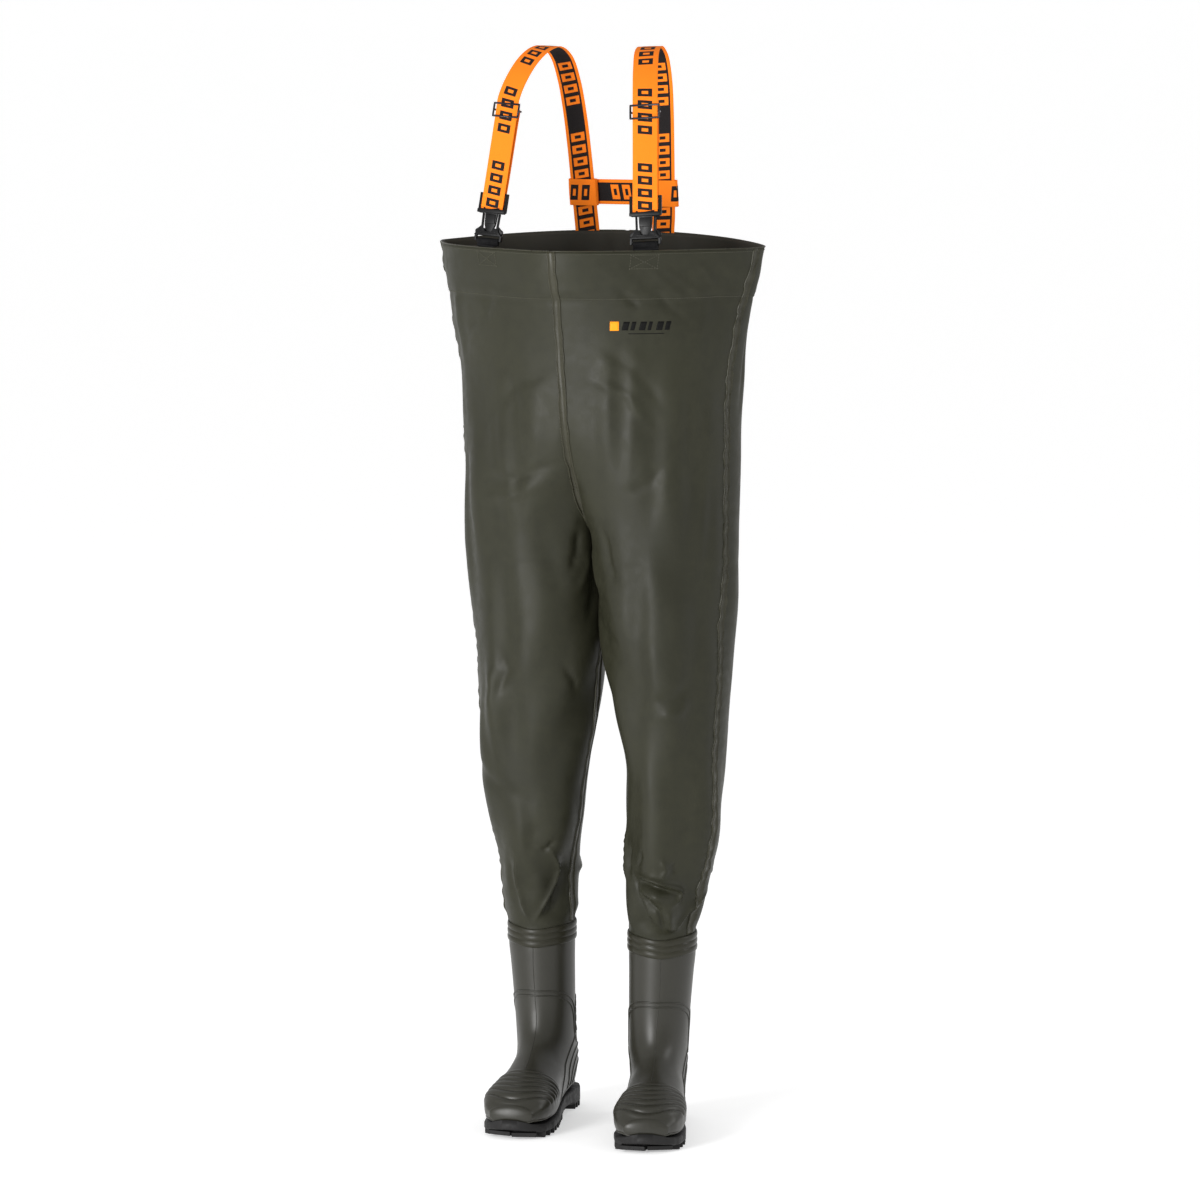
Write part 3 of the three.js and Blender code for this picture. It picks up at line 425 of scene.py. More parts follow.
# ------------------------------------------------------------------ shape of the overall
# Sections of a leg: [share of the height, shift of the middle outward in mm, middle's depth in mm,
# half width, front depth, back depth]; the last three are shares of the driving sizes.
LEG = {
    1: [
        [0.09, -5, 11, 0.553, 0.382, 0.5],
        [0.197, 2, 9, 0.631, 0.427, 0.565],
        [0.303, 9, 7, 0.689, 0.471, 0.597],
        [0.407, 12, 6, 0.699, 0.497, 0.613],
        [0.513, 12, 7, 0.704, 0.535, 0.661],
        [0.617, 8, 8, 0.777, 0.586, 0.726],
        [0.722, 4.5, 9, 0.874, 0.631, 0.79],
        [0.826, 1, 9, 0.942, 0.662, 0.855],
        [0.93, 0, 8, 0.985, 0.675, 0.903],
        [1, 0, 7, 1, 0.682, 0.927],
    ],
    -1: [
        [0.09, 10, 26, 0.495, 0.357, 0.452],
        [0.197, 8, 24, 0.583, 0.408, 0.532],
        [0.303, 8, 20, 0.68, 0.471, 0.597],
        [0.407, 9, 17, 0.738, 0.51, 0.629],
        [0.513, 6, 15, 0.825, 0.561, 0.694],
        [0.617, 2, 13, 0.903, 0.605, 0.75],
        [0.722, -2, 11, 0.947, 0.637, 0.806],
        [0.826, -1.5, 10, 0.966, 0.662, 0.855],
        [0.93, -1, 8, 0.981, 0.675, 0.903],
        [1, 0, 7, 1, 0.682, 0.927],
    ],
}
# Sections of each half of the trunk: [share of the height, middle as a share of the thigh's, how
# far the half width has grown from the thigh's to the chest's, front depth, back depth].
TRUNK = smooth_rows([
    [0, 1, 0, 0.682, 0.927],
    [0.048, 1, 0.01, 0.7, 0.95],
    [0.106, 0.976, 0.029, 0.72, 0.968],
    [0.193, 0.883, 0.099, 0.764, 1],
    [0.258, 0.796, 0.162, 0.796, 0.992],
    [0.332, 0.666, 0.255, 0.828, 0.984],
    [0.427, 0.388, 0.451, 0.898, 0.944],
    [0.56, 0.175, 0.62, 0.936, 0.903],
    [0.688, 0.039, 0.745, 0.955, 0.855],
    [0.818, 0, 0.845, 0.975, 0.806],
    [1, 0, 1, 1, 0.742],
])
CROTCH_BACK = 0.007
RIM_RISE = (-0.004, 0.015)  # at the front and at the back


def cuff_of(side):
    """The middle of a leg's joint with its boot, and the way to the heel, with x outward."""
    x, y, turn = FEET[side]
    out = side * LEAN
    return (side * (x + out * math.cos(turn)), y + out * math.sin(turn),
            (-math.sin(turn), math.cos(turn)))


def leg_rows(side):
    x, y, _ = cuff_of(side)
    start = [x, y, CUFF_RADIUS, CUFF_RADIUS, CUFF_RADIUS]
    rows = [[0, *start], [CUFF_LAP / (CROTCH - CUFF), *start]]
    for share, shift, middle, half, front, back in LEG[side]:
        rows.append([share, THIGH_HALF + shift * MM, middle * MM, half * THIGH_HALF,
                     front * FRONT_DEPTH, back * SEAT_DEPTH])
    return smooth_rows(rows)


LEG_AT = {side: leg_rows(side) for side in (1, -1)}


def section_at(side, height):
    """Middle x and y, half width, front depth and back depth of one half, as arrays."""
    height = np.asarray(height, float)
    leg = LEG_AT[side]((height - CUFF) / (CROTCH - CUFF))
    share = (height - CROTCH) / (RIM - CROTCH)
    middle, growth, front, back = np.moveaxis(TRUNK(share), -1, 0)
    trunk = np.stack([np.maximum(0, middle * THIGH_HALF), CROTCH_BACK * (1 - share),
                      THIGH_HALF + growth * (CHEST_HALF - THIGH_HALF), front * FRONT_DEPTH,
                      back * SEAT_DEPTH], -1)
    return np.moveaxis(np.where((height <= CROTCH)[..., None], leg, trunk), -1, 0)


def reach(side, height):
    """Half the turn of a section: a circle on a leg, cut off at the centre plane above."""
    cx, _, half, _, _ = section_at(side, height)
    return np.where(np.asarray(height) <= CROTCH, math.pi, np.arccos(np.clip(-cx / half, -1, 1)))


BAND_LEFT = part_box("cuff_band_left")
SHIFT = np.array([0, (BAND_LEFT[0].y + BAND_LEFT[1].y) / 2 - cuff_of(1)[1], 0])


def skin(side, height, angle):
    """The smooth overall: the angle runs from the front middle through the side to the back."""
    cx, cy, half, front, back = section_at(side, height)
    sine = np.sin(angle)
    ahead = sine < 0
    high = (height - CROTCH) / (RIM - CROTCH)
    power = 1 + 0.3 * smoothstep(high, 0.4, 1)
    x = cx + half * np.cos(angle)
    bow = BELLY * smoothstep(high, 0.67, 1) * np.exp(-((x / 0.080) ** 2)) * np.maximum(0, -sine)
    y = cy + np.where(ahead, -front, back) * np.abs(sine) ** power - bow
    rise = np.where(ahead, *RIM_RISE) * sine * sine
    cuff_x, cuff_y, heelward = cuff_of(side)
    dip = ((x - cuff_x) * heelward[0] + (y - cuff_y) * heelward[1]) / CUFF_RADIUS
    tilt = CUFF_TILT * dip * (1 - smoothstep(height, CUFF + CUFF_LAP, CUFF + 6 * CUFF_LAP))
    z = height + rise * smoothstep(high, 0.4, 1) + tilt
    return np.stack([side * np.maximum(x, GAP / 2), y, z], -1) + SHIFT


# Folds: points of [angle in degrees, height in mm], then how far it stands out in mm (minus for a
# valley), its half width in mm, and how pointed its top is.
FOLDS = {
    -1: [
        ([(-129, 424), (-140, 402), (-146, 383), (-143, 362), (-131, 341), (-116, 320), (-99, 300)],
         7.5, 6.5, 1.0),
        ([(-150, 400), (-157, 380), (-153, 355), (-141, 332), (-124, 310)], -5.5, 8, 0.4),
        ([(-84, 415), (-80, 385), (-80, 356), (-86, 325), (-94, 300)], 4.5, 6, 0.8),
        ([(-72, 410), (-69, 370), (-76, 325)], -3, 9, 0.3),
        ([(-112, 385), (-117, 350), (-104, 318)], 3, 12, 0.0),
        ([(-137, 438), (-128, 424), (-118, 419)], -4.0, 5, 0.6),
        ([(-120, 470), (-112, 440), (-106, 418)], -2.5, 12, 0.0),
        ([(-75, 722), (-84, 697), (-72, 655)], -4.0, 11, 0.2),
        ([(-60, 700), (-68, 670), (-64, 630)], 3.0, 10, 0.2),
        ([(-135, 705), (-146, 680), (-150, 662)], -3.0, 6, 0.5),
        ([(-147, 914), (-147, 872), (-141, 845)], -4.5, 8, 0.5),
        ([(-160, 880), (-158, 850), (-150, 815)], 4.0, 9, 0.4),
        ([(-170, 850), (-168, 810), (-160, 770)], -4.0, 9, 0.3),
        ([(-120, 900), (-128, 850), (-135, 800)], -2.5, 16, 0.0),
        ([(-15, 1300), (-8, 1190), (-14, 1060)], -6.0, 15, 0.1),
        ([(6, 1310), (2, 1230), (4, 1120)], 4.5, 10, 0.5),
        ([(-24, 1308), (-15, 1286), (-8, 1258)], 3.6, 8, 0.3),
        ([(-36, 1262), (-30, 1210), (-33, 1130)], 3.5, 14, 0.2),
        ([(-92, 1150), (-70, 1120), (-55, 1060)], -3.2, 12, 0.2),
        ([(-112, 1010), (-86, 985), (-60, 975)], -3.0, 10, 0.2),
        ([(-110, 980), (-84, 958), (-58, 950)], 2.4, 9, 0.2),
        ([(-62, 1262), (-55, 1225), (-38, 1195)], -3.0, 10, 0.2),
        ([(-20, 560), (-60, 520), (-105, 498)], -2.5, 12, 0.1),
        ([(30, 395), (60, 370), (100, 350)], 5.0, 8, 0.6),
        ([(20, 365), (60, 345), (110, 318)], -4.5, 7, 0.4),
        ([(95, 420), (130, 385), (165, 372)], 4.0, 8, 0.5),
        ([(60, 720), (90, 690), (125, 680)], -5.0, 12, 0.3),
        ([(70, 690), (100, 662), (140, 655)], 4.0, 9, 0.4),
        ([(150, 900), (140, 855), (118, 820)], -5.5, 10, 0.4),
        ([(150, 850), (128, 800), (95, 770)], -4.0, 12, 0.3),
    ],
    1: [
        ([(-122, 390), (-105, 391), (-86, 389), (-71, 383), (-50, 373), (-43, 364), (-47, 352),
          (-58, 346)], 8.5, 5.5, 0.9),
        ([(-116, 380), (-100, 380), (-84, 377), (-68, 371), (-54, 364)], -7.5, 5.5, 0.5),
        ([(-112, 366), (-90, 362), (-66, 356)], 5.5, 8, 0.1),
        ([(-108, 367), (-91, 350), (-74, 339), (-67, 319), (-61, 301)], -6.5, 5, 0.7),
        ([(-60, 340), (-57, 322), (-56, 304)], 4.5, 6, 0.3),
        ([(-126, 388), (-112, 358), (-88, 320)], -4.5, 4.5, 0.6),
        ([(-118, 372), (-100, 344), (-80, 322)], 4.0, 5, 0.4),
        ([(8, 362), (-24, 332), (-53, 304)], 5.0, 5, 0.8),
        ([(-105, 433), (-117, 405)], -3.5, 5, 0.5),
        ([(-78, 424), (-70, 405), (-74, 390)], 4.0, 5, 0.7),
        ([(-64, 418), (-60, 396)], -3.0, 6, 0.3),
        ([(-150, 470), (-158, 435), (-152, 400), (-140, 372)], 5.0, 6, 0.6),
        ([(-140, 440), (-146, 415), (-138, 385)], -4.0, 5, 0.4),
        ([(-120, 920), (-119, 862), (-111, 833)], -4.5, 9, 0.4),
        ([(-150, 885), (-150, 850), (-140, 812)], 3.5, 10, 0.3),
        ([(-168, 850), (-162, 805), (-150, 765)], -3.5, 9, 0.3),
        ([(-98, 762), (-94, 700), (-98, 640)], -2.5, 15, 0.0),
        ([(-66, 1298), (-62, 1289), (-57, 1271), (-50, 1240), (-40, 1215)], -2.6, 5, 0.5),
        ([(-68, 1262), (-64, 1250), (-61, 1240)], -3.0, 4.5, 0.5),
        ([(-59, 1296), (-52, 1274), (-40, 1240)], 2.2, 7, 0.3),
        ([(-57, 1304), (-47, 1280), (-36, 1252)], 3.4, 8, 0.3),
        ([(-44, 1308), (-36, 1287), (-29, 1262)], 3.0, 7, 0.3),
        ([(-40, 1300), (-34, 1230), (-36, 1120)], 2.5, 16, 0.0),
        ([(-78, 1190), (-62, 1150), (-50, 1090)], -3.2, 11, 0.2),
        ([(-84, 1140), (-66, 1110), (-58, 1060)], 2.6, 9, 0.3),
        ([(-58, 1010), (-70, 985), (-86, 970)], -3.0, 9, 0.3),
        ([(-45, 690), (-62, 668), (-84, 660)], -3.6, 9, 0.3),
        ([(-42, 664), (-60, 645), (-80, 636)], 3.0, 8, 0.3),
        ([(2, 1300), (6, 1200), (2, 1090)], -4.0, 12, 0.2),
        ([(30, 400), (60, 372), (105, 356)], 5.5, 8, 0.6),
        ([(22, 372), (62, 345), (112, 322)], -5.0, 7, 0.4),
        ([(100, 430), (135, 398), (170, 380)], 4.0, 8, 0.5),
        ([(60, 735), (95, 706), (130, 700)], -5.0, 12, 0.3),
        ([(72, 702), (105, 676), (142, 670)], 4.0, 9, 0.4),
        ([(150, 900), (138, 850), (114, 812)], -5.5, 10, 0.4),
        ([(152, 845), (130, 795), (100, 765)], -4.0, 12, 0.3),
    ],
}


FOLD_DEPTH = 1.3  # FOLD_DEPTH = 1.3 # every fold is this many times its listed depth


def fold_relief(side, height, angle):
    """How far the listed folds push the cloth out, in metres."""
    _, _, half, front, _ = section_at(side, height)
    radius = (half + front) / 2
    relief = np.zeros_like(height)
    for points, out, width, point in FOLDS[side]:
        nearest = np.full(height.shape, 1e9)
        along = np.zeros_like(height)
        count = len(points) - 1
        for i, (a, b) in enumerate(zip(points, points[1:])):
            turn = (angle - math.radians(a[0]) + math.pi) % (2 * math.pi) - math.pi
            x, z = turn * radius, height - a[1] * MM
            bx, bz = math.radians(b[0] - a[0]) * radius, (b[1] - a[1]) * MM
            t = np.clip((x * bx + z * bz) / (bx * bx + bz * bz), 0, 1)
            away = np.hypot(x - t * bx, z - t * bz)
            along = np.where(away < nearest, (i + t) / count, along)
            nearest = np.minimum(nearest, away)
        far = nearest / (width * MM)
        soft, sharp = np.exp(-far**2), np.exp(-1.6 * far)
        ends = np.clip(np.minimum(along, 1 - along) / 0.3, 0, 1)
        fade = 0.25 + 0.75 * smoothstep(ends, 0, 1)
        relief += FOLD_DEPTH * out * MM * lerp(soft, sharp, point) * fade
    return relief


def broad_relief(side, height, angle):
    """Slow hollows and swells of a hanging coated cloth, from a few seeded waves."""
    chance = np.random.default_rng(7 if side > 0 else 11)
    relief = np.zeros_like(height)
    for _ in range(12):
        turns, pitch = chance.integers(2, 7), chance.uniform(0.16, 0.5)
        phase, lean = chance.uniform(0, 2 * math.pi, 2)
        wave = turns * angle + 2 * math.pi * height / pitch + phase
        relief += 0.0012 * np.sin(wave + 0.6 * np.sin(3 * height / pitch + lean))
    return relief


def seam_relief(height, from_seam):
    """Puckers where a weld has drawn the cloth together."""
    near = np.exp(-((from_seam / 0.013) ** 2))
    shift = 1.4 * np.sin(height * 61) + 0.8 * np.sin(height * 143 + 1)
    return near * (0.0009 * np.sin(height * 2 * math.pi / 0.021 + shift) - 0.0008)


# The half turn's columns run from -1 at the front middle, through 0 at the side seam, to 1.
COLUMNS = 72


class Half:
    """One half of the overall as a grid of points, rows up and columns round."""

    def __init__(self, side):
        self.side = side
        low = np.linspace(CUFF, 0.450, 68)
        self.heights = np.concatenate([low, np.linspace(0.450, RIM, 190)[1:]])
        self.turns = np.linspace(-1, 1, 2 * COLUMNS + 1)
        height, angle = self.spread()
        base = skin(side, height, angle)
        self.normals = self.normals_of(base)
        relief = fold_relief(side, height, angle) + broad_relief(side, height, angle)
        _, _, half, front, _ = section_at(side, height)
        spacing = (angle - SEAM_ANGLE) * (half + front) / 2
        relief += seam_relief(height, spacing)
        hem = RIM - HEM_DEPTH
        limit = lerp(0.03, 0.0008, smoothstep(height, hem - 0.012, hem + 0.012))
        relief = np.where(relief < 0, limit * np.tanh(relief / limit), relief)
        relief -= 0.0010 * np.exp(-(((height - hem + 0.004) / 0.0035) ** 2))
        relief += 0.0008 * np.exp(-(((height - hem - 0.007) / 0.007) ** 2))
        held = smoothstep(height, CUFF + 0.014, CUFF + 0.034)
        held = held * (1 - 0.6 * smoothstep(height, RIM - 0.045, RIM - 0.004))
        points = base + self.normals * (relief * held)[..., None]
        inner_limit = np.where(height > CROTCH, GAP / 2, -1)
        points[..., 0] = side * np.maximum(side * points[..., 0], inner_limit)
        self.points = points
        self.normals = self.normals_of(points)

    def move(self, shift):
        """Moves the points, as the settled cloth has moved, and works out the normals again."""
        points = self.points + shift
        points[..., 0] = self.side * np.maximum(self.side * points[..., 0], GAP / 2)
        self.points = points
        self.normals = self.normals_of(points)

    def spread(self):
        """Heights and angles of all the grid's points."""
        height = np.repeat(self.heights[:, None], len(self.turns), 1)
        end = reach(self.side, self.heights)[:, None]
        share = np.abs(self.turns)[None, :]
        return height, lerp(SEAM_ANGLE, np.where(self.turns < 0, -1, 1) * end, share)

    def normals_of(self, points):
        up = np.gradient(points, axis=0)
        onward = np.gradient(points, axis=1)
        out = unit(np.cross(onward, up) * self.side)
        legs = self.heights <= CROTCH
        joined = unit(out[:, 0] + out[:, -1])
        out[legs, 0] = out[legs, -1] = joined[legs]
        return out

    def column(self, height, turn, distance):
        """The fractional column that lies a distance onward of a turn at a height."""
        row = np.interp(height, self.heights, np.arange(len(self.heights)))
        line = self.points[int(round(float(row)))]
        steps = np.linalg.norm(np.diff(line, axis=0), axis=-1)
        length = np.concatenate([[0], np.cumsum(steps)])
        place = np.interp(turn, self.turns, length) + distance
        return np.interp(place, length, np.arange(len(length)))

    def at(self, height, column, lift=0.0):
        """The point above a height and a fractional column, and the way out there."""
        row = np.clip(np.interp(height, self.heights, np.arange(len(self.heights))),
                      0, len(self.heights) - 1.001)
        column = np.clip(column, 0, len(self.turns) - 1.001)
        r, c = int(row), int(column)
        fr, fc = row - r, column - c
        blend = lambda grid: lerp(lerp(grid[r, c], grid[r, c + 1], fc),
                                  lerp(grid[r + 1, c], grid[r + 1, c + 1], fc), fr)
        out = unit(blend(self.normals))
        return blend(self.points) + out * lift, out

    def panel(self, face, depth=0.0):
        """One panel's points at a depth, from its side seam to its middle."""
        middle = COLUMNS
        columns = slice(middle, None, -1) if face == "front" else slice(middle, None)
        return (self.points - self.normals * depth)[:, columns]


HALVES = {side: Half(side) for side in (1, -1)}
MEETING = 14  # columns over which the halves are brought together


def meet(halves):
    """Brings the two halves together along the centre welds."""
    above = halves[1].heights > CROTCH
    mirror = np.array([-1, 1, 1])
    fade = (1 - np.arange(MEETING) / MEETING) ** 2
    for edge in (0, -1):
        ends = {side: halves[side].points[above, edge].copy() for side in (1, -1)}
        middle = (ends[1] + ends[-1] * mirror) / 2
        for side in (1, -1):
            gap = (middle if side > 0 else middle * mirror) - ends[side]
            for i, share in enumerate(fade):
                halves[side].points[above, i if edge == 0 else -1 - i] += gap * share
    for half in halves.values():
        half.normals = half.normals_of(half.points)
    for edge in (0, -1):
        out = halves[1].normals[above, edge] + halves[-1].normals[above, edge]
        out = unit(out * np.array([0, 1, 1]))
        halves[1].normals[above, edge] = halves[-1].normals[above, edge] = out


meet(HALVES)
SPARE = 0.014  # the share by which the cloth is larger each way than the smooth overall
COARSE = 3  # the cloth is settled on every third row and column
FRAMES = 18
MOST = 0.010  # no point settles further; the legs would go further, so this sets their sag


def settle(halves):
    """Lets the cloth hang between the rim and the boots, and moves both grids with it."""
    first = halves[1]
    rows = np.append(np.arange(0, len(first.heights) - 1, COARSE), len(first.heights) - 1)
    columns = np.arange(0, len(first.turns), COARSE)
    heights = first.heights[rows]
    shape = (len(rows), len(columns))
    numbers = {1: np.arange(shape[0] * shape[1]).reshape(shape)}
    numbers[-1] = numbers[1] + shape[0] * shape[1]
    legs = heights <= CROTCH
    for side in (1, -1):
        numbers[side][legs, -1] = numbers[side][legs, 0]
    for edge in (0, -1):
        numbers[-1][~legs, edge] = numbers[1][~legs, edge]
    start = np.concatenate([halves[side].points[np.ix_(rows, columns)].reshape(-1, 3)
                            for side in (1, -1)])
    used, packed = np.unique(np.concatenate([numbers[1].ravel(), numbers[-1].ravel()]),
                             return_inverse=True)
    packed = packed.reshape(2, *shape)
    faces = np.concatenate([np.stack([grid[:-1, :-1], grid[:-1, 1:], grid[1:, 1:], grid[1:, :-1]],
                                     -1).reshape(-1, 4) for grid in packed])
    cloth = mesh_piece("hanging cloth", start[used], faces, SHELL)
    high = start[used][:, 2]
    held = cloth.vertex_groups.new(name="held")
    for i in np.flatnonzero((high > RIM - 0.022) | (high < CUFF + 0.020)).tolist():
        held.add([i], 1.0, "REPLACE")
    modifier = cloth.modifiers.new("hang", "CLOTH")
    settings = modifier.settings
    settings.quality, settings.mass, settings.air_damping = 6, 0.4, 3.0
    settings.tension_stiffness = settings.compression_stiffness = 25.0
    settings.shear_stiffness, settings.bending_stiffness = 8.0, 2.5
    settings.tension_damping = settings.compression_damping = 12.0
    settings.bending_damping, settings.shrink_min = 2.0, -SPARE
    settings.vertex_group_mass = "held"
    modifier.collision_settings.use_collision = False
    modifier.collision_settings.use_self_collision = False
    scene = bpy.context.scene
    for number in range(1, FRAMES + 1):
        scene.frame_set(number)
    evaluated = cloth.evaluated_get(bpy.context.evaluated_depsgraph_get())
    settled = np.array([v.co for v in evaluated.data.vertices])
    scene.frame_set(1)
    shift = settled - start[used]
    bpy.data.objects.remove(cloth)
    every_row, every_column = np.arange(len(first.heights)), np.arange(len(first.turns))
    for side, grid in ((1, packed[0]), (-1, packed[1])):
        moved = shift[grid]
        length = np.linalg.norm(moved, axis=-1, keepdims=True)
        moved = moved * (MOST * np.tanh(length / MOST) / np.maximum(length, 1e-9))
        moved[~legs, 0, 0] = moved[~legs, -1, 0] = 0
        fine = np.stack([np.stack([np.interp(every_row, rows, moved[:, c, k])
                                   for c in range(shape[1])], 1) for k in range(3)], -1)
        fine = np.stack([np.stack([np.interp(every_column, columns, fine[r, :, k])
                                   for r in range(len(every_row))]) for k in range(3)], -1)
        for _ in range(3):
            fine[1:-1] = (fine[:-2] + 2 * fine[1:-1] + fine[2:]) / 4
            fine[:, 1:-1] = (fine[:, :-2] + 2 * fine[:, 1:-1] + fine[:, 2:]) / 4
        loose = smoothstep(RIM - first.heights, 0.03, 0.13)
        loose = loose * smoothstep(first.heights, CUFF + 0.05, CUFF + 0.18)
        halves[side].move(fine * loose[:, None, None])


settle(HALVES)
meet(HALVES)


# A panel's cut before welding: its widest, its longest and its area. They are measured on the
# smooth overall and made larger by SPARE each way.
CUT = {"front": ((0.315, 1.104), 0.273), "back": ((0.369, 1.108), 0.312)}


def make_panels():
    for name, side in SIDES.items():
        for face in ("front", "back"):
            grid = HALVES[side]
            piece = wall(f"{face}_{name}_cloth", grid.panel(face), grid.panel(face, CLOTH), SHELL)
            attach(piece, WADERS)
            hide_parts(f"{face}_{name}_panel")
            flat, area = CUT[face]


# ------------------------------------------------------------------ welds, hem and stitches
# A weld's section: [distance across in mm, height in mm], two ridges beside a flat middle.
WELD = [(-6.6, 0.1), (-6.1, 1.2), (-5.4, 1.9), (-4.6, 1.2), (-3.6, 0.5), (0, 0.35),
        (3.6, 0.5), (4.6, 1.2), (5.4, 1.9), (6.1, 1.2), (6.6, 0.1)]


def weld_tape(name, heights, places, waviness=1.0):
    """A tape along a joint. places(height, distance, lift) gives a point beside the joint."""
    outer, inner = [], []
    for height in heights:
        sway = waviness * MM * (0.7 * math.sin(height * 97) + 0.5 * math.sin(height * 231 + 2))
        swell = 1 + waviness * 0.12 * math.sin(height * 173 + 1)
        row = [(x * MM * swell + sway, z * MM) for x, z in WELD]
        outer.append([places(height, x, z) for x, z in row])
        inner.append([places(height, x, -0.0002) for x, _ in row])
    return wall(name, np.array(outer), np.array(inner), TAPE)


def make_tapes():
    for name, side in SIDES.items():
        half = HALVES[side]
        rows = half.heights[half.heights > CUFF + CUFF_LAP - 0.001]

        def beside_seam(height, distance, lift):
            return half.at(height, half.column(height, 0.0, distance), lift)[0]

        def beside_inseam(height, distance, lift):
            turn = -1.0 if distance < 0 else 1.0
            return half.at(height, half.column(height, turn, -turn * abs(distance)), lift)[0]

        tape = weld_tape(f"side_weld_{name}", rows, beside_seam, 1.3)
        yield tape, f"side_seam_tape_{name}"
        tape = weld_tape(f"inseam_weld_{name}", rows[rows < CROTCH - 0.012], beside_inseam)
        yield tape, f"inseam_tape_{name}"
    for face, turn in (("front", -1.0), ("back", 1.0)):

        def beside_middle(height, distance, lift):
            half = HALVES[1 if distance >= 0 else -1]
            column = half.column(height, turn, -turn * abs(distance))
            point = half.at(height, column, lift)[0]
            return point if abs(distance) > 0.001 else point * (0, 1, 1)

        rows = HALVES[1].heights[HALVES[1].heights > CROTCH + 0.014]
        tape = weld_tape(f"centre_{face}_weld", rows, beside_middle, 0.6)
        yield tape, f"centre_{face}_seam_tape"


def tree(name, inputs):
    """An empty node tree for a modifier, with a Geometry input and the given ones."""
    group = bpy.data.node_groups.new(name, "GeometryNodeTree")
    interface = group.interface
    interface.new_socket("Geometry", in_out="INPUT", socket_type="NodeSocketGeometry")
    interface.new_socket("Geometry", in_out="OUTPUT", socket_type="NodeSocketGeometry")
    for label, kind in inputs:
        interface.new_socket(label, in_out="INPUT", socket_type=f"NodeSocket{kind}")
    start = group.nodes.new("NodeGroupInput")
    end = group.nodes.new("NodeGroupOutput")

    def node(kind, settings=None, links=None):
        made = group.nodes.new(kind)
        for key, value in (settings or {}).items():
            setattr(made, key, value)
        for key, value in (links or {}).items():
            if isinstance(value, bpy.types.NodeSocket):
                group.links.new(value, made.inputs[key])
            else:
                made.inputs[key].default_value = value
        return made

    return group, start.outputs, end.inputs, node


def grow(piece, group, **values):
    """Runs a node tree on a piece with these inputs and keeps the result as a plain mesh."""
    modifier = piece.modifiers.new(group.name, "NODES")
    modifier.node_group = group
    sockets = {item.name: item.identifier for item in group.interface.items_tree
               if item.in_out == "INPUT"}
    for label, value in values.items():
        modifier[sockets[label.replace("_", " ").capitalize()]] = value
    return plain(piece)


def stitch_tree():
    """A run of thread stitches along each line of a mesh of edges."""
    group, given, result, node = tree("stitches", [
        ("Pitch", "Float"), ("Length", "Float"), ("Thickness", "Float"), ("Thread", "Material")])
    lines = node("GeometryNodeMeshToCurve", {}, {"Mesh": given["Geometry"]})
    spaced = node("GeometryNodeResampleCurve", {"mode": "LENGTH"},
                  {"Curve": lines.outputs[0], "Length": given["Pitch"]})
    stitch = node("GeometryNodeMeshUVSphere", {}, {"Segments": 8, "Rings": 5, "Radius": 0.5})
    tangent = node("GeometryNodeInputTangent")
    turned = node("FunctionNodeAlignRotationToVector", {"axis": "X"},
                  {"Vector": tangent.outputs[0]})
    size = node("ShaderNodeCombineXYZ", {}, {
        "X": given["Length"], "Y": given["Thickness"], "Z": given["Thickness"]})
    placed = node("GeometryNodeInstanceOnPoints", {}, {
        "Points": spaced.outputs[0], "Instance": stitch.outputs[0],
        "Rotation": turned.outputs[0], "Scale": size.outputs[0]})
    real = node("GeometryNodeRealizeInstances", {}, {"Geometry": placed.outputs[0]})
    coloured = node("GeometryNodeSetMaterial", {}, {
        "Geometry": real.outputs[0], "Material": given["Thread"]})
    group.links.new(coloured.outputs[0], result["Geometry"])
    return group


def rib_tree():
    """A raised rib along each line of a mesh of edges, with a flattened round section."""
    group, given, result, node = tree("raised ribs", [
        ("Width", "Float"), ("Compound", "Material")])
    lines = node("GeometryNodeMeshToCurve", {}, {"Mesh": given["Geometry"]})
    section = node("GeometryNodeCurvePrimitiveCircle", {}, {"Resolution": 8})
    half = node("ShaderNodeMath", {"operation": "MULTIPLY"}, {0: given["Width"], 1: 0.5})
    group.links.new(half.outputs[0], section.inputs["Radius"])
    swept = node("GeometryNodeCurveToMesh", {}, {
        "Curve": lines.outputs[0], "Profile Curve": section.outputs[0], "Fill Caps": True})
    real = node("GeometryNodeRealizeInstances", {}, {"Geometry": swept.outputs[0]})
    coloured = node("GeometryNodeSetMaterial", {}, {
        "Geometry": real.outputs[0], "Material": given["Compound"]})
    group.links.new(coloured.outputs[0], result["Geometry"])
    return group


STITCHES = stitch_tree()
RIBS = rib_tree()


def line_mesh(name, lines):
    """A mesh of edges, one run of them for each line of points."""
    points, edges = [], []
    for line in lines:
        first = len(points)
        points += [tuple(point) for point in line]
        edges += [(first + i, first + i + 1) for i in range(len(line) - 1)]
    mesh = bpy.data.meshes.new(name)
    mesh.from_pydata(points, edges, [])
    piece = bpy.data.objects.new(name, mesh)
    bpy.context.scene.collection.objects.link(piece)
    return piece


SEWN = 0.0003  # how far the thread's middle stands off the cloth
PATCH = (0.040, 0.020)
PATCH_TOP = 0.006  # the patch's distance below the rim


def hem_line(side, drop):
    """A line round one half at a depth below the rim."""
    half = HALVES[side]
    columns = np.arange(1, len(half.turns) - 1)
    return [half.at(RIM - drop, column, SEWN)[0] for column in columns]


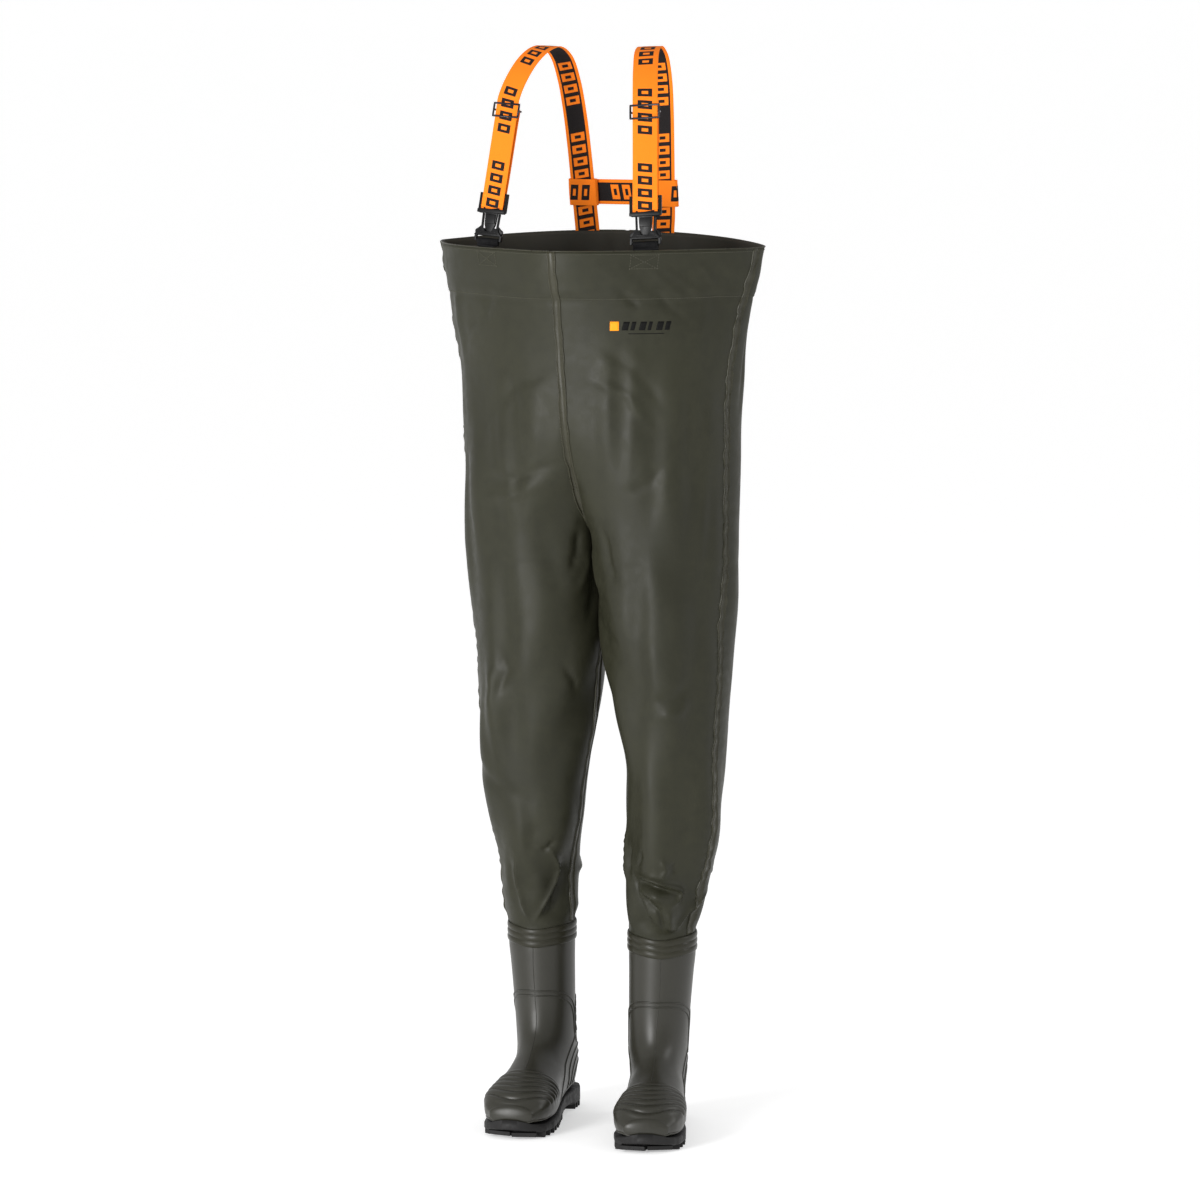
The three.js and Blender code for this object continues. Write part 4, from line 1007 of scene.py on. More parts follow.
def patch_lines(side, x, face):
    """A box with a cross in it, sewn below the rim at a distance from the centre plane."""
    half = HALVES[side]
    width, deep = PATCH
    sign = -1 if face == "front" else 1
    row = half.points[-1][: COLUMNS + 1][::-1] if sign < 0 else half.points[-1][COLUMNS:]
    distance = np.abs(row[:, 0])
    start = np.interp(-x, -distance, np.arange(len(row)))

    def at(u, v):
        height = RIM - PATCH_TOP - v * deep
        column = COLUMNS + sign * start
        turn = float(np.interp(column, np.arange(len(half.turns)), half.turns))
        shifted = half.column(height, turn, (u - 0.5) * width)
        return half.at(height, shifted, SEWN)[0]

    def run(a, b):
        return [at(lerp(a[0], b[0], t), lerp(a[1], b[1], t)) for t in np.linspace(0, 1, 12)]

    corners = [(0, 0), (1, 0), (1, 1), (0, 1)]
    return [run(a, b) for a, b in zip(corners, corners[1:] + corners[:1])] + [
        run((0, 0), (1, 1)), run((1, 0), (0, 1))]


def make_stitching():
    lines = []
    for side in (1, -1):
        lines += [hem_line(side, 0.0045), hem_line(side, HEM_DEPTH)]
        lines += patch_lines(side, TAB_X, "front") + patch_lines(side, BACK_STRAP_X, "back")
    seam = grow(line_mesh("hem_stitching", lines), STITCHES, pitch=0.0036, length=0.0027,
                thickness=0.0010, thread=THREAD)
    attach(seam, WADERS)


def make_rim():
    """The pale cut edge of the cloth, rolled a little outwards."""
    lines = [[HALVES[side].at(RIM, column, 0.0002)[0]
              for column in np.linspace(0.5, 2 * COLUMNS - 0.5, 3 * COLUMNS)] for side in (1, -1)]
    rim = grow(line_mesh("rolled_rim", lines), RIBS, width=0.0017, compound=TAPE)
    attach(rim, WADERS)


def make_facings():
    """The turned-in band behind the rim, which swells where webbing is sewn into it."""
    for face in ("front", "back"):
        sheets = []
        for depth in (0.0, CLOTH):
            parts = []
            for side in (1, -1):
                half = HALVES[side]
                rows = half.heights > RIM - HEM_DEPTH - 0.002
                grid, out = half.panel(face)[rows], half.normals
                columns = slice(COLUMNS, None, -1) if face == "front" else slice(COLUMNS, None)
                out = out[rows][:, columns]
                x = np.abs(grid[..., 0])
                spot = TAB_X if face == "front" else BACK_STRAP_X
                room = np.exp(-(np.maximum(0, np.abs(x - spot) - 0.024) / 0.014) ** 2)
                inset = CLOTH + 0.0004 + (HEM_GAP + 0.0004) * room + depth
                parts.append(grid - out * inset[..., None])
            seam = (parts[0][:, -1:] + parts[1][:, -1:]) / 2
            sheets.append(np.concatenate([parts[0][:, :-1], seam, parts[1][:, -2::-1]], 1))
        piece = wall(f"{face}_facing", sheets[0], sheets[1], INSIDE)
        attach(piece, WADERS)
        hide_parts(f"{face}_hem_facing")


def make_chest_mark():
    """A plain printed mark: a small square and a row of slanted bars."""
    half = HALVES[1]
    height, start = 1.213, half.column(1.213, -1.0, 0.078)

    def patch(x, width, low, high, slant, material):
        rows = []
        for v in np.linspace(low, high, 5):
            row = [half.at(height + v, half.column(height + v, float(np.interp(
                start, np.arange(len(half.turns)), half.turns)), x + u * width + slant * (v - low)),
                0.00035)[0] for u in np.linspace(0, 1, 5)]
            rows.append(row)
        rows = np.array(rows)
        return wall("mark", rows, rows - np.array([0, -0.0002, 0]), material)

    pieces = [patch(0, 0.013, -0.0065, 0.0065, 0, MARK_BRIGHT)]
    for i, width in enumerate((0.009, 0.006, 0.009, 0.005, 0.009, 0.007)):
        pieces.append(patch(0.017 + i * 0.0125, width, -0.006, 0.006, 0.25, MARK_DARK))
    pieces.append(patch(0.027, 0.052, -0.0115, -0.0105, 0, MARK_DARK))
    mark = merge("chest_mark", pieces)
    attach(mark, WADERS)


# ------------------------------------------------------------------ boots
# Sections down the shaft: [share of the way from the instep up to the cuff, at the front and at
# the back; then front, back and half width as shares of the cuff's radius].
SHAFT = [
    [1, 1, 1, 1, 1],
    [0.84, 0.84, 1, 1, 1],
    [0.66, 0.66, 0.99, 0.99, 0.97],
    [0.36, 0.33, 0.98, 1, 0.93],
    [0.15, 0, 1.02, 1.08, 0.9],
]
# Sections along the foot in mm: front y and z, back y and z, half width; then the squareness of
# the sole side. Where the back has no height, it rests on the outsole.
FOOT = [
    [-57, 136, 64, 95, 44, 2.2],
    [-67, 121, 76, 58, 42, 2.4],
    [-80, 110, 62, None, 40, 2.8],
    [-97, 99, 28, None, 41, 3.2],
    [-115, 91, -20, None, 43, 3.4],
    [-135, 84, -70, None, 48, 3.6],
    [-155, 78, -115, None, 52, 3.8],
    [-173, 72, -150, None, 51.5, 4],
    [-190, 63, -182, None, 45.5, 4],
    [-203, 51, -203, None, 34, 3.8],
]
TOE = (-211, 34)
TOE_IN = 5
AROUND = 96


def rows_at(rows, y):
    """Straight lines between rows of [y, value] in mm."""
    return np.interp(y, [row[0] for row in rows], [row[1] for row in rows])


SOLE_TOP = [[-213, 30], [-202, 24], [-182, 20.8], [-150, 20], [-115, 20], [-70, 23.5],
            [-20, 29.5], [28, 33], [82, 33]]
SOLE_BOTTOM = [[-213, 8], [-190, 2], [-175, 0], [-45, 0], [-25, 12], [15, 12], [25, 0], [82, 0]]
SOLE_HALF = [[-213, 12], [-209, 23], [-202, 33], [-193, 41], [-180, 48], [-150, 53], [-105, 50],
             [-60, 42], [-20, 37], [20, 38], [55, 38], [68, 33], [76, 24], [80, 16], [82, 8]]


class Boot:
    """One boot's own frame: millimetres, the toe at -Y, mirrored on the right side."""

    def __init__(self, side):
        self.side = side
        x, y, turn = FEET[side]
        self.matrix = Matrix.Translation(Vector((x, y, 0)) + Vector(SHIFT)) @ Matrix.Rotation(
            turn, 4, "Z")

    def place(self, points):
        """Points of the boot's frame in mm as points of the row frame."""
        points = np.asarray(points, float)
        toeward = np.maximum(0, -points[..., 1] - 60) / 153
        x = self.side * (points[..., 0] - TOE_IN * toeward)
        local = np.stack([x, points[..., 1], points[..., 2]], -1) * MM
        turn = np.array(self.matrix.to_3x3())
        return local @ turn.T + np.array(self.matrix.translation)


def boot_sections(count):
    """Smooth sections from the cuff to the toe: front y, z, back y, z, half, square, lean."""
    rows = []
    low, rise, radius = INSTEP / MM, (CUFF - INSTEP) / MM, CUFF_RADIUS / MM
    for i, (front, back, front_y, back_y, half) in enumerate(SHAFT):
        tilt = CUFF_TILT / MM if i < 2 else 0
        lean = LEAN / MM * min(1, front / SHAFT[1][0])
        rows.append([i, -front_y * radius, low + front * rise - tilt, back_y * radius,
                     low + back * rise + tilt, half * radius, 2, lean])
    for i, (fy, fz, by, bz, half, square) in enumerate(FOOT):
        bz = bz if bz is not None else rows_at(SOLE_TOP, by) + 0.3
        rows.append([i + len(SHAFT), fy, fz, by, bz, half, square, 0])
    return smooth_rows(rows)(np.linspace(0, len(rows) - 1, count))


def boot_loops(depth=0.0, count=150):
    """Loops round the boot at a depth inside its skin, closing over the toe, in mm."""
    sections = boot_sections(count)
    angle = np.arange(AROUND) / AROUND * 2 * math.pi
    loops = []
    for fy, fz, by, bz, half, square, lean in sections:
        front, back = np.array([fy, fz]), np.array([by, bz])
        inward = (back - front) / np.linalg.norm(back - front) * depth
        front, back = front + inward, back - inward
        cosine, sine = np.cos(angle), np.sin(angle)
        power = np.where(cosine < 0, 2 / square, 1)
        u = np.sign(cosine) * np.abs(cosine) ** power
        v = np.sign(sine) * np.abs(sine) ** power
        line = lerp(back[None, :], front[None, :], ((1 + u) / 2)[:, None])
        loops.append(np.stack([v * (half - depth) + lean, line[:, 0], line[:, 1]], -1))
    last = loops[-1]
    tip = np.array([0, TOE[0] + 1.4 * depth, TOE[1]])
    for share in np.linspace(0, 1, 9)[1:]:
        turn = share * math.pi / 2
        shrunk = lerp(tip, last, max(math.cos(turn), 0.02))
        shrunk[:, 1] = lerp(last[:, 1], tip[1], math.sin(turn))
        loops.append(shrunk)
    return np.array(loops)


def boot_surface(side):
    """The boot's outer skin for laying lines on, in the row frame."""
    loops = Boot(side).place(boot_loops())
    faces = quads(len(loops), AROUND, wrap=True).tolist()
    return BVHTree.FromPolygons(loops.reshape(-1, 3).tolist(), faces)


def laid(surface, points, spacing=0.0016):
    """A smooth line through points, moved onto a surface."""
    points = np.asarray(points, float)
    lengths = np.concatenate([[0], np.cumsum(np.linalg.norm(np.diff(points, axis=0), axis=-1))])
    curve = smooth_rows(np.column_stack([lengths, points]).tolist())
    line = curve(np.linspace(0, lengths[-1], max(6, int(lengths[-1] / spacing))))
    return [surface.find_nearest(Vector(point))[0] for point in line]


def mirrored(points):
    """A line from the middle out to one side, carried on to the other."""
    return [(-x, y, z) for x, y, z in points[:0:-1]] + list(points)


# Lines that the mould leaves standing on a boot, in the boot's millimetres.
SHIN = [(0, -52, 194), (20, -48, 194), (36, -32, 190), (45, -8, 175), (46, 6, 150), (44, 10, 122)]
SHIN_LOW = [(0, -53, 187), (19, -49, 187), (34, -34, 183), (42, -13, 170), (43, -2, 150),
            (42, 2, 126), (43, 14, 108)]
THROAT = [(43, 4, 118), (41, -14, 96), (40, -34, 74), (42, -52, 56), (46, -78, 42), (48, -96, 36)]
HEEL_ARCS = [
    [(43, 30, 104), (43, 6, 92), (41, -12, 66), (40, -22, 42)],
    [(42, 46, 92), (43, 22, 84), (42, 6, 62), (41, -4, 42)],
    [(38, 60, 78), (42, 40, 74), (42, 22, 58), (41, 14, 42)],
]
ANKLE_OVAL = [(46 * 0.97, 22 + 15 * math.cos(t), 152 + 27 * math.sin(t))
              for t in np.linspace(0, 2 * math.pi, 25)]
CHEVRONS = [[(45, 12, 140 + k * 11), (45, 22, 148 + k * 11), (45, 32, 140 + k * 11)]
            for k in range(3)]


def boot_relief(points):
    """Soft swells of the toe cap's ribs, in mm, for points of the boot's frame."""
    y, z, x = points[..., 1], points[..., 2], points[..., 0]
    bent = y - 0.0125 * x**2
    cap = smoothstep(-bent, 122, 131) * (1 - smoothstep(-bent, 199, 206)) * smoothstep(z, 44, 54)
    ribs = np.abs(np.sin(math.pi * (bent + 128) / 13.5)) ** 0.45
    step = smoothstep(-bent, 120, 124) * (1 - smoothstep(-bent, 200, 210))
    return cap * (4.2 * ribs - 2.8) + 0.6 * step


def make_boots():
    for name, side in SIDES.items():
        boot = Boot(side)
        outer_mm, inner_mm = boot_loops(count=230), boot_loops(BOOT_WALL / MM, count=230)
        skin_points = boot.place(outer_mm)
        up, onward = np.gradient(skin_points, axis=0), np.roll(skin_points, -1, 1) - skin_points
        out = unit(np.cross(up, onward))
        middle = skin_points.mean(axis=1, keepdims=True)
        out *= np.sign((out * (skin_points - middle)).sum(-1, keepdims=True).mean())
        outer = skin_points + out * (boot_relief(outer_mm) * MM)[..., None]
        inner = boot.place(inner_mm)
        rings = len(outer)
        count = rings * AROUND
        ring = np.arange(AROUND)
        following = (ring + 1) % AROUND
        rim = np.stack([ring, ring + count, following + count, following], -1)
        faces = np.vstack([quads(rings, AROUND, wrap=True),
                           quads(rings, AROUND, count, wrap=True)[:, ::-1], rim]).tolist()
        faces.append(list(range((rings - 1) * AROUND, count)))
        faces.append(list(range(count + (rings - 1) * AROUND, 2 * count))[::-1])
        mesh = bpy.data.meshes.new("boot")
        mesh.from_pydata(np.vstack([outer.reshape(-1, 3), inner.reshape(-1, 3)]).tolist(), [], faces)
        mesh.shade_smooth()
        mesh.materials.append(BOOT)
        shell = bpy.data.objects.new("boot", mesh)
        bpy.context.scene.collection.objects.link(shell)
        outward(shell)

        surface = boot_surface(side)
        lay = lambda points: laid(surface, boot.place(points))
        fine = [lay(mirrored(SHIN)), lay(mirrored(SHIN_LOW))]
        for flip in (1, -1):
            turned = lambda points: [(x * flip, y, z) for x, y, z in points]
            fine += [lay(turned(THROAT))] + [lay(turned(arc)) for arc in HEEL_ARCS]
            fine += [lay(turned(ANKLE_OVAL))] + [lay(turned(line)) for line in CHEVRONS]
        piping = grow(line_mesh("piping", fine), RIBS, width=0.0026, compound=BOOT)
        seam = lay([(6, -50, 268), (6, -50, 230), (4, -50, 195)])
        seam += lay([(3, -51, 180), (0, -53, 150), (0, -62, 122), (0, -92, 101), (0, -120, 89)])
        mould_line = grow(line_mesh("mould line", [seam]), RIBS, width=0.0012, compound=BOOT)
        edge = [(rows_at(SOLE_HALF, y) * s, y, rows_at(SOLE_TOP, y) + 3.4)
                for s, ys in ((1, np.linspace(70, -200, 60)), (-1, np.linspace(-200, 70, 60)))
                for y in ys]
        bead = grow(line_mesh("bead", [lay(edge)]), RIBS, width=0.0036, compound=BOOT)
        whole = merge(f"moulded_boot_{name}", [shell, piping, mould_line, bead])
        whole.data.shade_smooth()
        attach(whole, WADERS)
        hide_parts(f"boot_upper_{name}")
        make_outsole(name, boot)
        make_band(name, side)


def lug_tree():
    """A lug on each point of a mesh; its size and turn are stored on the points."""
    group, given, result, node = tree("lugs", [("Height", "Float"), ("Rubber", "Material")])
    points = node("GeometryNodeMeshToPoints", {}, {"Mesh": given["Geometry"]})
    cube = node("GeometryNodeMeshCube", {}, {"Size": (1, 1, 1)})
    size = node("GeometryNodeInputNamedAttribute", {"data_type": "FLOAT_VECTOR"}, {"Name": "size"})
    turn = node("GeometryNodeInputNamedAttribute", {"data_type": "FLOAT_VECTOR"}, {"Name": "turn"})
    rotation = node("FunctionNodeEulerToRotation", {}, {"Euler": turn.outputs[0]})
    tall = node("ShaderNodeCombineXYZ", {}, {"X": 1.0, "Y": 1.0, "Z": given["Height"]})
    scale = node("ShaderNodeVectorMath", {"operation": "MULTIPLY"},
                 {0: size.outputs[0], 1: tall.outputs[0]})
    placed = node("GeometryNodeInstanceOnPoints", {}, {
        "Points": points.outputs[0], "Instance": cube.outputs[0],
        "Rotation": rotation.outputs[0], "Scale": scale.outputs[0]})
    real = node("GeometryNodeRealizeInstances", {}, {"Geometry": placed.outputs[0]})
    coloured = node("GeometryNodeSetMaterial", {}, {
        "Geometry": real.outputs[0], "Material": given["Rubber"]})
    group.links.new(coloured.outputs[0], result["Geometry"])
    return group


LUGS = lug_tree()
LUG_ROWS = [-196, -180, -163, -145, -126, -107, -88, -69, -52, 31, 44, 57, 70]


def make_outsole(name, boot):
    """A welted slab with lugs below it, staggered from side to side."""
    stations = np.concatenate([np.linspace(-213, -190, 14), np.linspace(-188, 66, 70),
                               np.linspace(68, 82, 10)])
    loops = []
    for y in stations:
        half, top = rows_at(SOLE_HALF, y), rows_at(SOLE_TOP, y)
        bottom = max(rows_at(SOLE_BOTTOM, y) + (0 if -30 < y < 20 else 7.5), 7.5)
        profile = [(-0.55, bottom), (0, bottom), (0.55, bottom), (0.93, bottom),
                   (0.985, bottom + 1.2), (1.0, bottom + 3), (1.0, top - 3.2), (0.99, top - 1.4),
                   (0.955, top - 0.3), (0.8, top), (0, top), (-0.8, top), (-0.955, top - 0.3),
                   (-0.99, top - 1.4), (-1.0, top - 3.2), (-1.0, bottom + 3),
                   (-0.985, bottom + 1.2), (-0.93, bottom)]
        loops.append(boot.place([(x * half, y, z) for x, z in profile]))
    slab = tube("slab", loops, RUBBER)
    spots, sizes, turns = [], [], []
    yaw = FEET[boot.side][2]
    for y in LUG_ROWS:
        half = rows_at(SOLE_HALF, y)
        bottom = max(rows_at(SOLE_BOTTOM, y), 0)
        for s in (-1, 1):
            width = half * 0.97
            shift = 2.5 * s
            spots.append(boot.place([(s * width / 2 + s * 0.7, y + shift, (bottom + 10) / 2)])[0])
            sizes.append((width * MM, (9 if y < 20 else 8) * MM, (10 - bottom) * MM))
            turns.append((0, 0, yaw + boot.side * s * 0.2))
    mesh = bpy.data.meshes.new("lug places")
    mesh.from_pydata([tuple(spot) for spot in spots], [], [])
    for label, values in (("size", sizes), ("turn", turns)):
        stored = mesh.attributes.new(label, "FLOAT_VECTOR", "POINT")
        stored.data.foreach_set("vector", np.array(values, np.float32).ravel())
    holder = bpy.data.objects.new("lug places", mesh)
    bpy.context.scene.collection.objects.link(holder)
    lugs = grow(holder, LUGS, height=1.0, rubber=RUBBER)
    bevel = lugs.modifiers.new("worn edges", "BEVEL")
    bevel.width, bevel.segments = 0.0008, 2
    plain(lugs)
    lugs.data.shade_flat()
    sole = merge(f"lugged_sole_{name}", [slab, lugs])
    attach(sole, WADERS)
    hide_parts(f"boot_outsole_{name}")


def make_band(name, side):
    """The band over the joint of leg and boot: three rounded ribs, dipping at the front."""
    around, levels = 128, 43
    x, y, turn = FEET[side]
    centre = Matrix.Translation(Vector((x, y, 0)) + Vector(SHIFT)) @ Matrix.Rotation(turn, 4, "Z")
    inner, base = CUFF_RADIUS + 0.0003, CUFF_RADIUS + 0.0014
    loops = []
    for angle in np.arange(around) / around * 2 * math.pi:
        drop = 0.0035 * math.exp(-((angle - 1.5 * math.pi) / 0.5) ** 2)
        loop = []
        for level in np.linspace(0, 1, levels):
            rib = abs(math.sin(3 * math.pi * level)) ** 0.6
            loop.append((base + 0.0013 * rib, lerp(-BAND_BELOW, BAND_ABOVE, level)))
        loop += [(inner, BAND_ABOVE), (inner, -BAND_BELOW)]
        places = []
        for radius, z in loop:
            depth = radius * math.sin(angle)
            height = CUFF + z + CUFF_TILT * depth / CUFF_RADIUS - drop
            point = Vector((side * LEAN + radius * math.cos(angle), depth, height))
            places.append(tuple(centre @ point))
        loops.append(places)
    loops.append(loops[0])
    band = tube(f"ribbed_band_{name}", loops, BAND, caps=False)
    work = bmesh.new()
    work.from_mesh(band.data)
    bmesh.ops.remove_doubles(work, verts=work.verts, dist=1e-6)
    work.to_mesh(band.data)
    work.free()
    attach(band, WADERS)
    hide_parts(f"cuff_band_{name}")


# ------------------------------------------------------------------ clips and webbing
def frame_at(side, height, angle):
    """The way out of the smooth overall at one place."""
    height, angle = np.float64(height), np.float64(angle)
    up = skin(side, min(height + 0.002, RIM), angle) - skin(side, height - 0.002, angle)
    _, _, half, front, back = section_at(side, height)

    def around(a):
        return np.array([side * half * math.cos(a), (front if math.sin(a) < 0 else back)
                         * math.sin(a), 0])

    onward = around(angle + 0.02) - around(angle - 0.02)
    out = unit(np.cross(onward, up))
    cx, cy = section_at(side, height)[:2]
    middle = np.array([side * cx, cy, height]) + SHIFT
    return out if out @ (skin(side, height, angle) - middle) > 0 else -out


def hem_seat(side, face, x, height):
    """Where webbing lies behind the rim: its middle, and the way across it."""
    sign = -1 if face == "front" else 1
    cx, _, half, _, _ = section_at(side, height)

    def at(distance):
        angle = sign * math.acos((distance - cx) / half)
        return skin(side, np.float64(height), np.float64(angle)) - frame_at(
            side, height, angle) * (CLOTH + HEM_GAP / 2)

    low, high = at(x - WEBBING / 2), at(x + WEBBING / 2)
    return (at(x) + (low + high) / 2) / 2, unit(high - low) * side


class Clip:
    """A clip's own frame: X across, -Y away from the wearer, Z up along the strap."""

    def __init__(self, side):
        self.origin = hem_seat(side, "front", TAB_X, RIM)[0]
        self.up = unit(np.array([-side * 0.085, 0.19, 1.0]))
        back = np.array([-side * math.sin(CLIP_YAW), math.cos(CLIP_YAW), 0])
        self.back = unit(back - self.up * (back @ self.up))
        self.across = np.cross(self.back, self.up)

    def at(self, x, y, z):
        return self.origin + self.across * x + self.back * y + self.up * z


def turn_round(y, z, radius, start, end, steps):
    return [(y + radius * math.cos(a), z + radius * math.sin(a))
            for a in np.radians(np.linspace(start, end, steps + 1))]


TAB_TURN = (WIRE + TAB) / 2 + GAP
STRAP_TURN = (WIRE + STRAP) / 2 + GAP
MIDDLE_BAR = -STRAP_TURN + STRAP / 2 + GAP + STRAP + GAP + WIRE / 2


def ribbon(name, points, across, width, thickness, material, start=0.0, crown=0.0002):
    """Webbing with rounded selvedges along a path; UV U is across and V along, in metres."""
    points, across = np.array(points), np.array(across)
    forward = unit(np.gradient(points, axis=0))
    side = unit(across - forward * (across * forward).sum(-1, keepdims=True))
    out = np.cross(side, forward)
    lengths = start + np.concatenate([[0], np.cumsum(np.linalg.norm(np.diff(points, axis=0),
                                                                    axis=-1))])
    half = thickness / 2
    face = [(-1 + 0.006, 0), (-0.985, 0.8), (-0.95, 1.0), (-0.8, 0.86), (-0.5, 0.92), (0, 1.0),
            (0.5, 0.92), (0.8, 0.86), (0.95, 1.0), (0.985, 0.8), (1 - 0.006, 0)]
    section = [(u, v * half + (crown if abs(u) < 0.6 else 0)) for u, v in face]
    section += [(u, -v * half) for u, v in face[-2:0:-1]]
    loops = [[points[i] + side[i] * u * width / 2 + out[i] * v for u, v in section]
             for i in range(len(points))]
    piece = tube(name, loops, material)
    layer = piece.data.uv_layers.new(name="weave")
    around = len(section)
    where = np.array([i for loop in piece.data.polygons for i in loop.vertices])
    u = np.array([s[0] for s in section])[where % around] / 2 + 0.5
    inside = np.zeros(len(where))
    cursor = 0
    for polygon in piece.data.polygons:
        corners = [v % around for v in polygon.vertices]
        inner = all(c >= 10 or c == 0 for c in corners) and len(corners) == 4
        inside[cursor:cursor + len(corners)] = 1.0 if inner else 0.0
        cursor += len(corners)
    uv = np.column_stack([np.clip(u, 0.002, 0.998) + inside, lengths[where // around]])
    layer.data.foreach_set("uv", uv.astype(np.float32).ravel())
    return piece


def smooth_path(points, across, spacing=0.003):
    """A path and its across directions, resampled evenly along a smooth curve."""
    points, across = np.array(points), np.array(across)
    lengths = np.concatenate([[0], np.cumsum(np.linalg.norm(np.diff(points, axis=0), axis=-1))])
    curve = smooth_rows(np.column_stack([lengths, points, across]).tolist())
    at = curve(np.linspace(0, lengths[-1], int(lengths[-1] / spacing) + 2))
    return at[:, :3], unit(at[:, 3:])


SHOULDER = [(97, -62, -27), (87, -33, -5), (81, -5, 0), (77, 25, -15), (74, 46, -50),
            (71, 59, -95), (68, 69, -150), (65.5, 77, -205), (63.5, 83.5, -250)]


def shoulder_points(side):
    return [np.array([side * x * MM, y * MM, STRAP_TOP + z * MM]) + SHIFT for x, y, z in SHOULDER]


def make_straps():
    for name, side in SIDES.items():
        clip = Clip(side)
        hem = [hem_seat(side, "back", BACK_STRAP_X, RIM - d) for d in (0, STRAP_IN_HEM / 2,
                                                                       STRAP_IN_HEM)]
        front = [clip.at(0, -STRAP_TURN, z) for z in (WEB_BAR, 0.078, 0.12, 0.173, ADJUSTER,
                                                      STRAIGHT_END)]
        over = shoulder_points(side)
        path = front + over + [h[0] for h in hem]
        turn = [clip.across] * len(front)
        end = hem[0][1]
        turn += [unit(lerp(clip.across, end, (i + 1) / (len(over) + 1))) for i in range(len(over))]
        turn += [end] * 3
        points, across = smooth_path(path, turn)
        main = ribbon(f"shoulder_webbing_{name}", points, across, WEBBING, STRAP, STRAPS)
        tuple(over[2])
        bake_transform(main)
        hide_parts(f"shoulder_strap_{name}")

        loop = turn_round(0, WEB_BAR, STRAP_TURN, -180, 0, 10)
        loop += [(STRAP_TURN, PLUG_TOP + 0.002), (STRAP_TURN + 0.0006, PLUG_TOP + 0.022),
                 (MIDDLE_BAR + STRAP_TURN - 0.0004, ADJUSTER - 0.015)]
        loop += turn_round(MIDDLE_BAR, ADJUSTER, STRAP_TURN, 0, 180, 10)
        loop += [(MIDDLE_BAR - STRAP_TURN, ADJUSTER - 0.013)]
        path = [clip.at(0, y, z) for y, z in loop]
        points, across = smooth_path(path, [clip.across] * len(path), 0.0012)
        back = ribbon(f"strap_return_{name}", points, across, WEBBING, STRAP, STRAPS, start=0.4)
        tuple(clip.at(0, 0, 0.085))
        tuple(clip.at(0, 0, 0.185))
        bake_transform(back)
        make_tab(name, side, clip)


def make_tab(name, side, clip):
    """The short loop sewn behind the rim that holds the socket's bar."""
    hem = [hem_seat(side, "front", TAB_X, RIM - d) for d in (0.058, 0.029, 0, -0.002)]
    loop = [(-0.0008, 0.005), (-TAB_TURN, 0.009)] + turn_round(0, TAB_BAR, TAB_TURN, 180, 0, 8)
    loop += [(TAB_TURN - 0.0003, 0.007), (TAB_TURN - 0.0004, 0.0035)]
    path = [h[0] for h in hem] + [clip.at(0, y, z) for y, z in loop]
    turn = [h[1] for h in hem] + [clip.across] * len(loop)
    points, across = smooth_path(path, turn, 0.0012)
    tab = ribbon(f"tab_loop_{name}", points, across, WEBBING, TAB, TAB_WEB)
    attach(tab, WADERS)
    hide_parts(f"front_tab_webbing_{name}")


def softened(node, name, width, material, segments=2, angle=30):
    """A CAD piece with its edges eased, so that they catch the light."""
    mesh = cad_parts[node].data.copy()
    piece = bpy.data.objects.new(name, mesh)
    bpy.context.scene.collection.objects.link(piece)
    work = bmesh.new()
    work.from_mesh(mesh)
    bmesh.ops.remove_doubles(work, verts=work.verts, dist=2e-6)
    bmesh.ops.dissolve_limit(work, angle_limit=math.radians(2), verts=work.verts,
                             edges=work.edges)
    work.to_mesh(mesh)
    work.free()
    mesh.materials.clear()
    mesh.materials.append(material)
    bevel = piece.modifiers.new("eased edges", "BEVEL")
    bevel.width, bevel.segments, bevel.limit_method = width, segments, "ANGLE"
    bevel.angle_limit = math.radians(angle)
    bevel.use_clamp_overlap = True
    plain(piece)
    piece.data.shade_smooth()
    return piece


def pad(clip, spots, sizes, material):
    """Small rounded blocks in a clip's frame: [x, y, z] middles with [x, y, z] sizes."""
    blocks = []
    for (x, y, z), (w, d, h) in zip(spots, sizes):
        work = bmesh.new()
        bmesh.ops.create_cube(work, size=1)
        bmesh.ops.scale(work, vec=(w, d, h), verts=work.verts)
        bmesh.ops.bevel(work, geom=work.edges[:], offset=min(w, d, h) * 0.4, segments=3,
                        profile=0.5, affect="EDGES", clamp_overlap=True)
        turn = np.column_stack([clip.across, clip.back, clip.up])
        for vertex in work.verts:
            local = np.array(vertex.co) + (x, y, z)
            vertex.co = clip.origin + turn @ local
        mesh = bpy.data.meshes.new("pad")
        work.to_mesh(mesh)
        work.free()
        mesh.shade_smooth()
        mesh.materials.append(material)
        piece = bpy.data.objects.new("pad", mesh)
        bpy.context.scene.collection.objects.link(piece)
        blocks.append(piece)
    return blocks


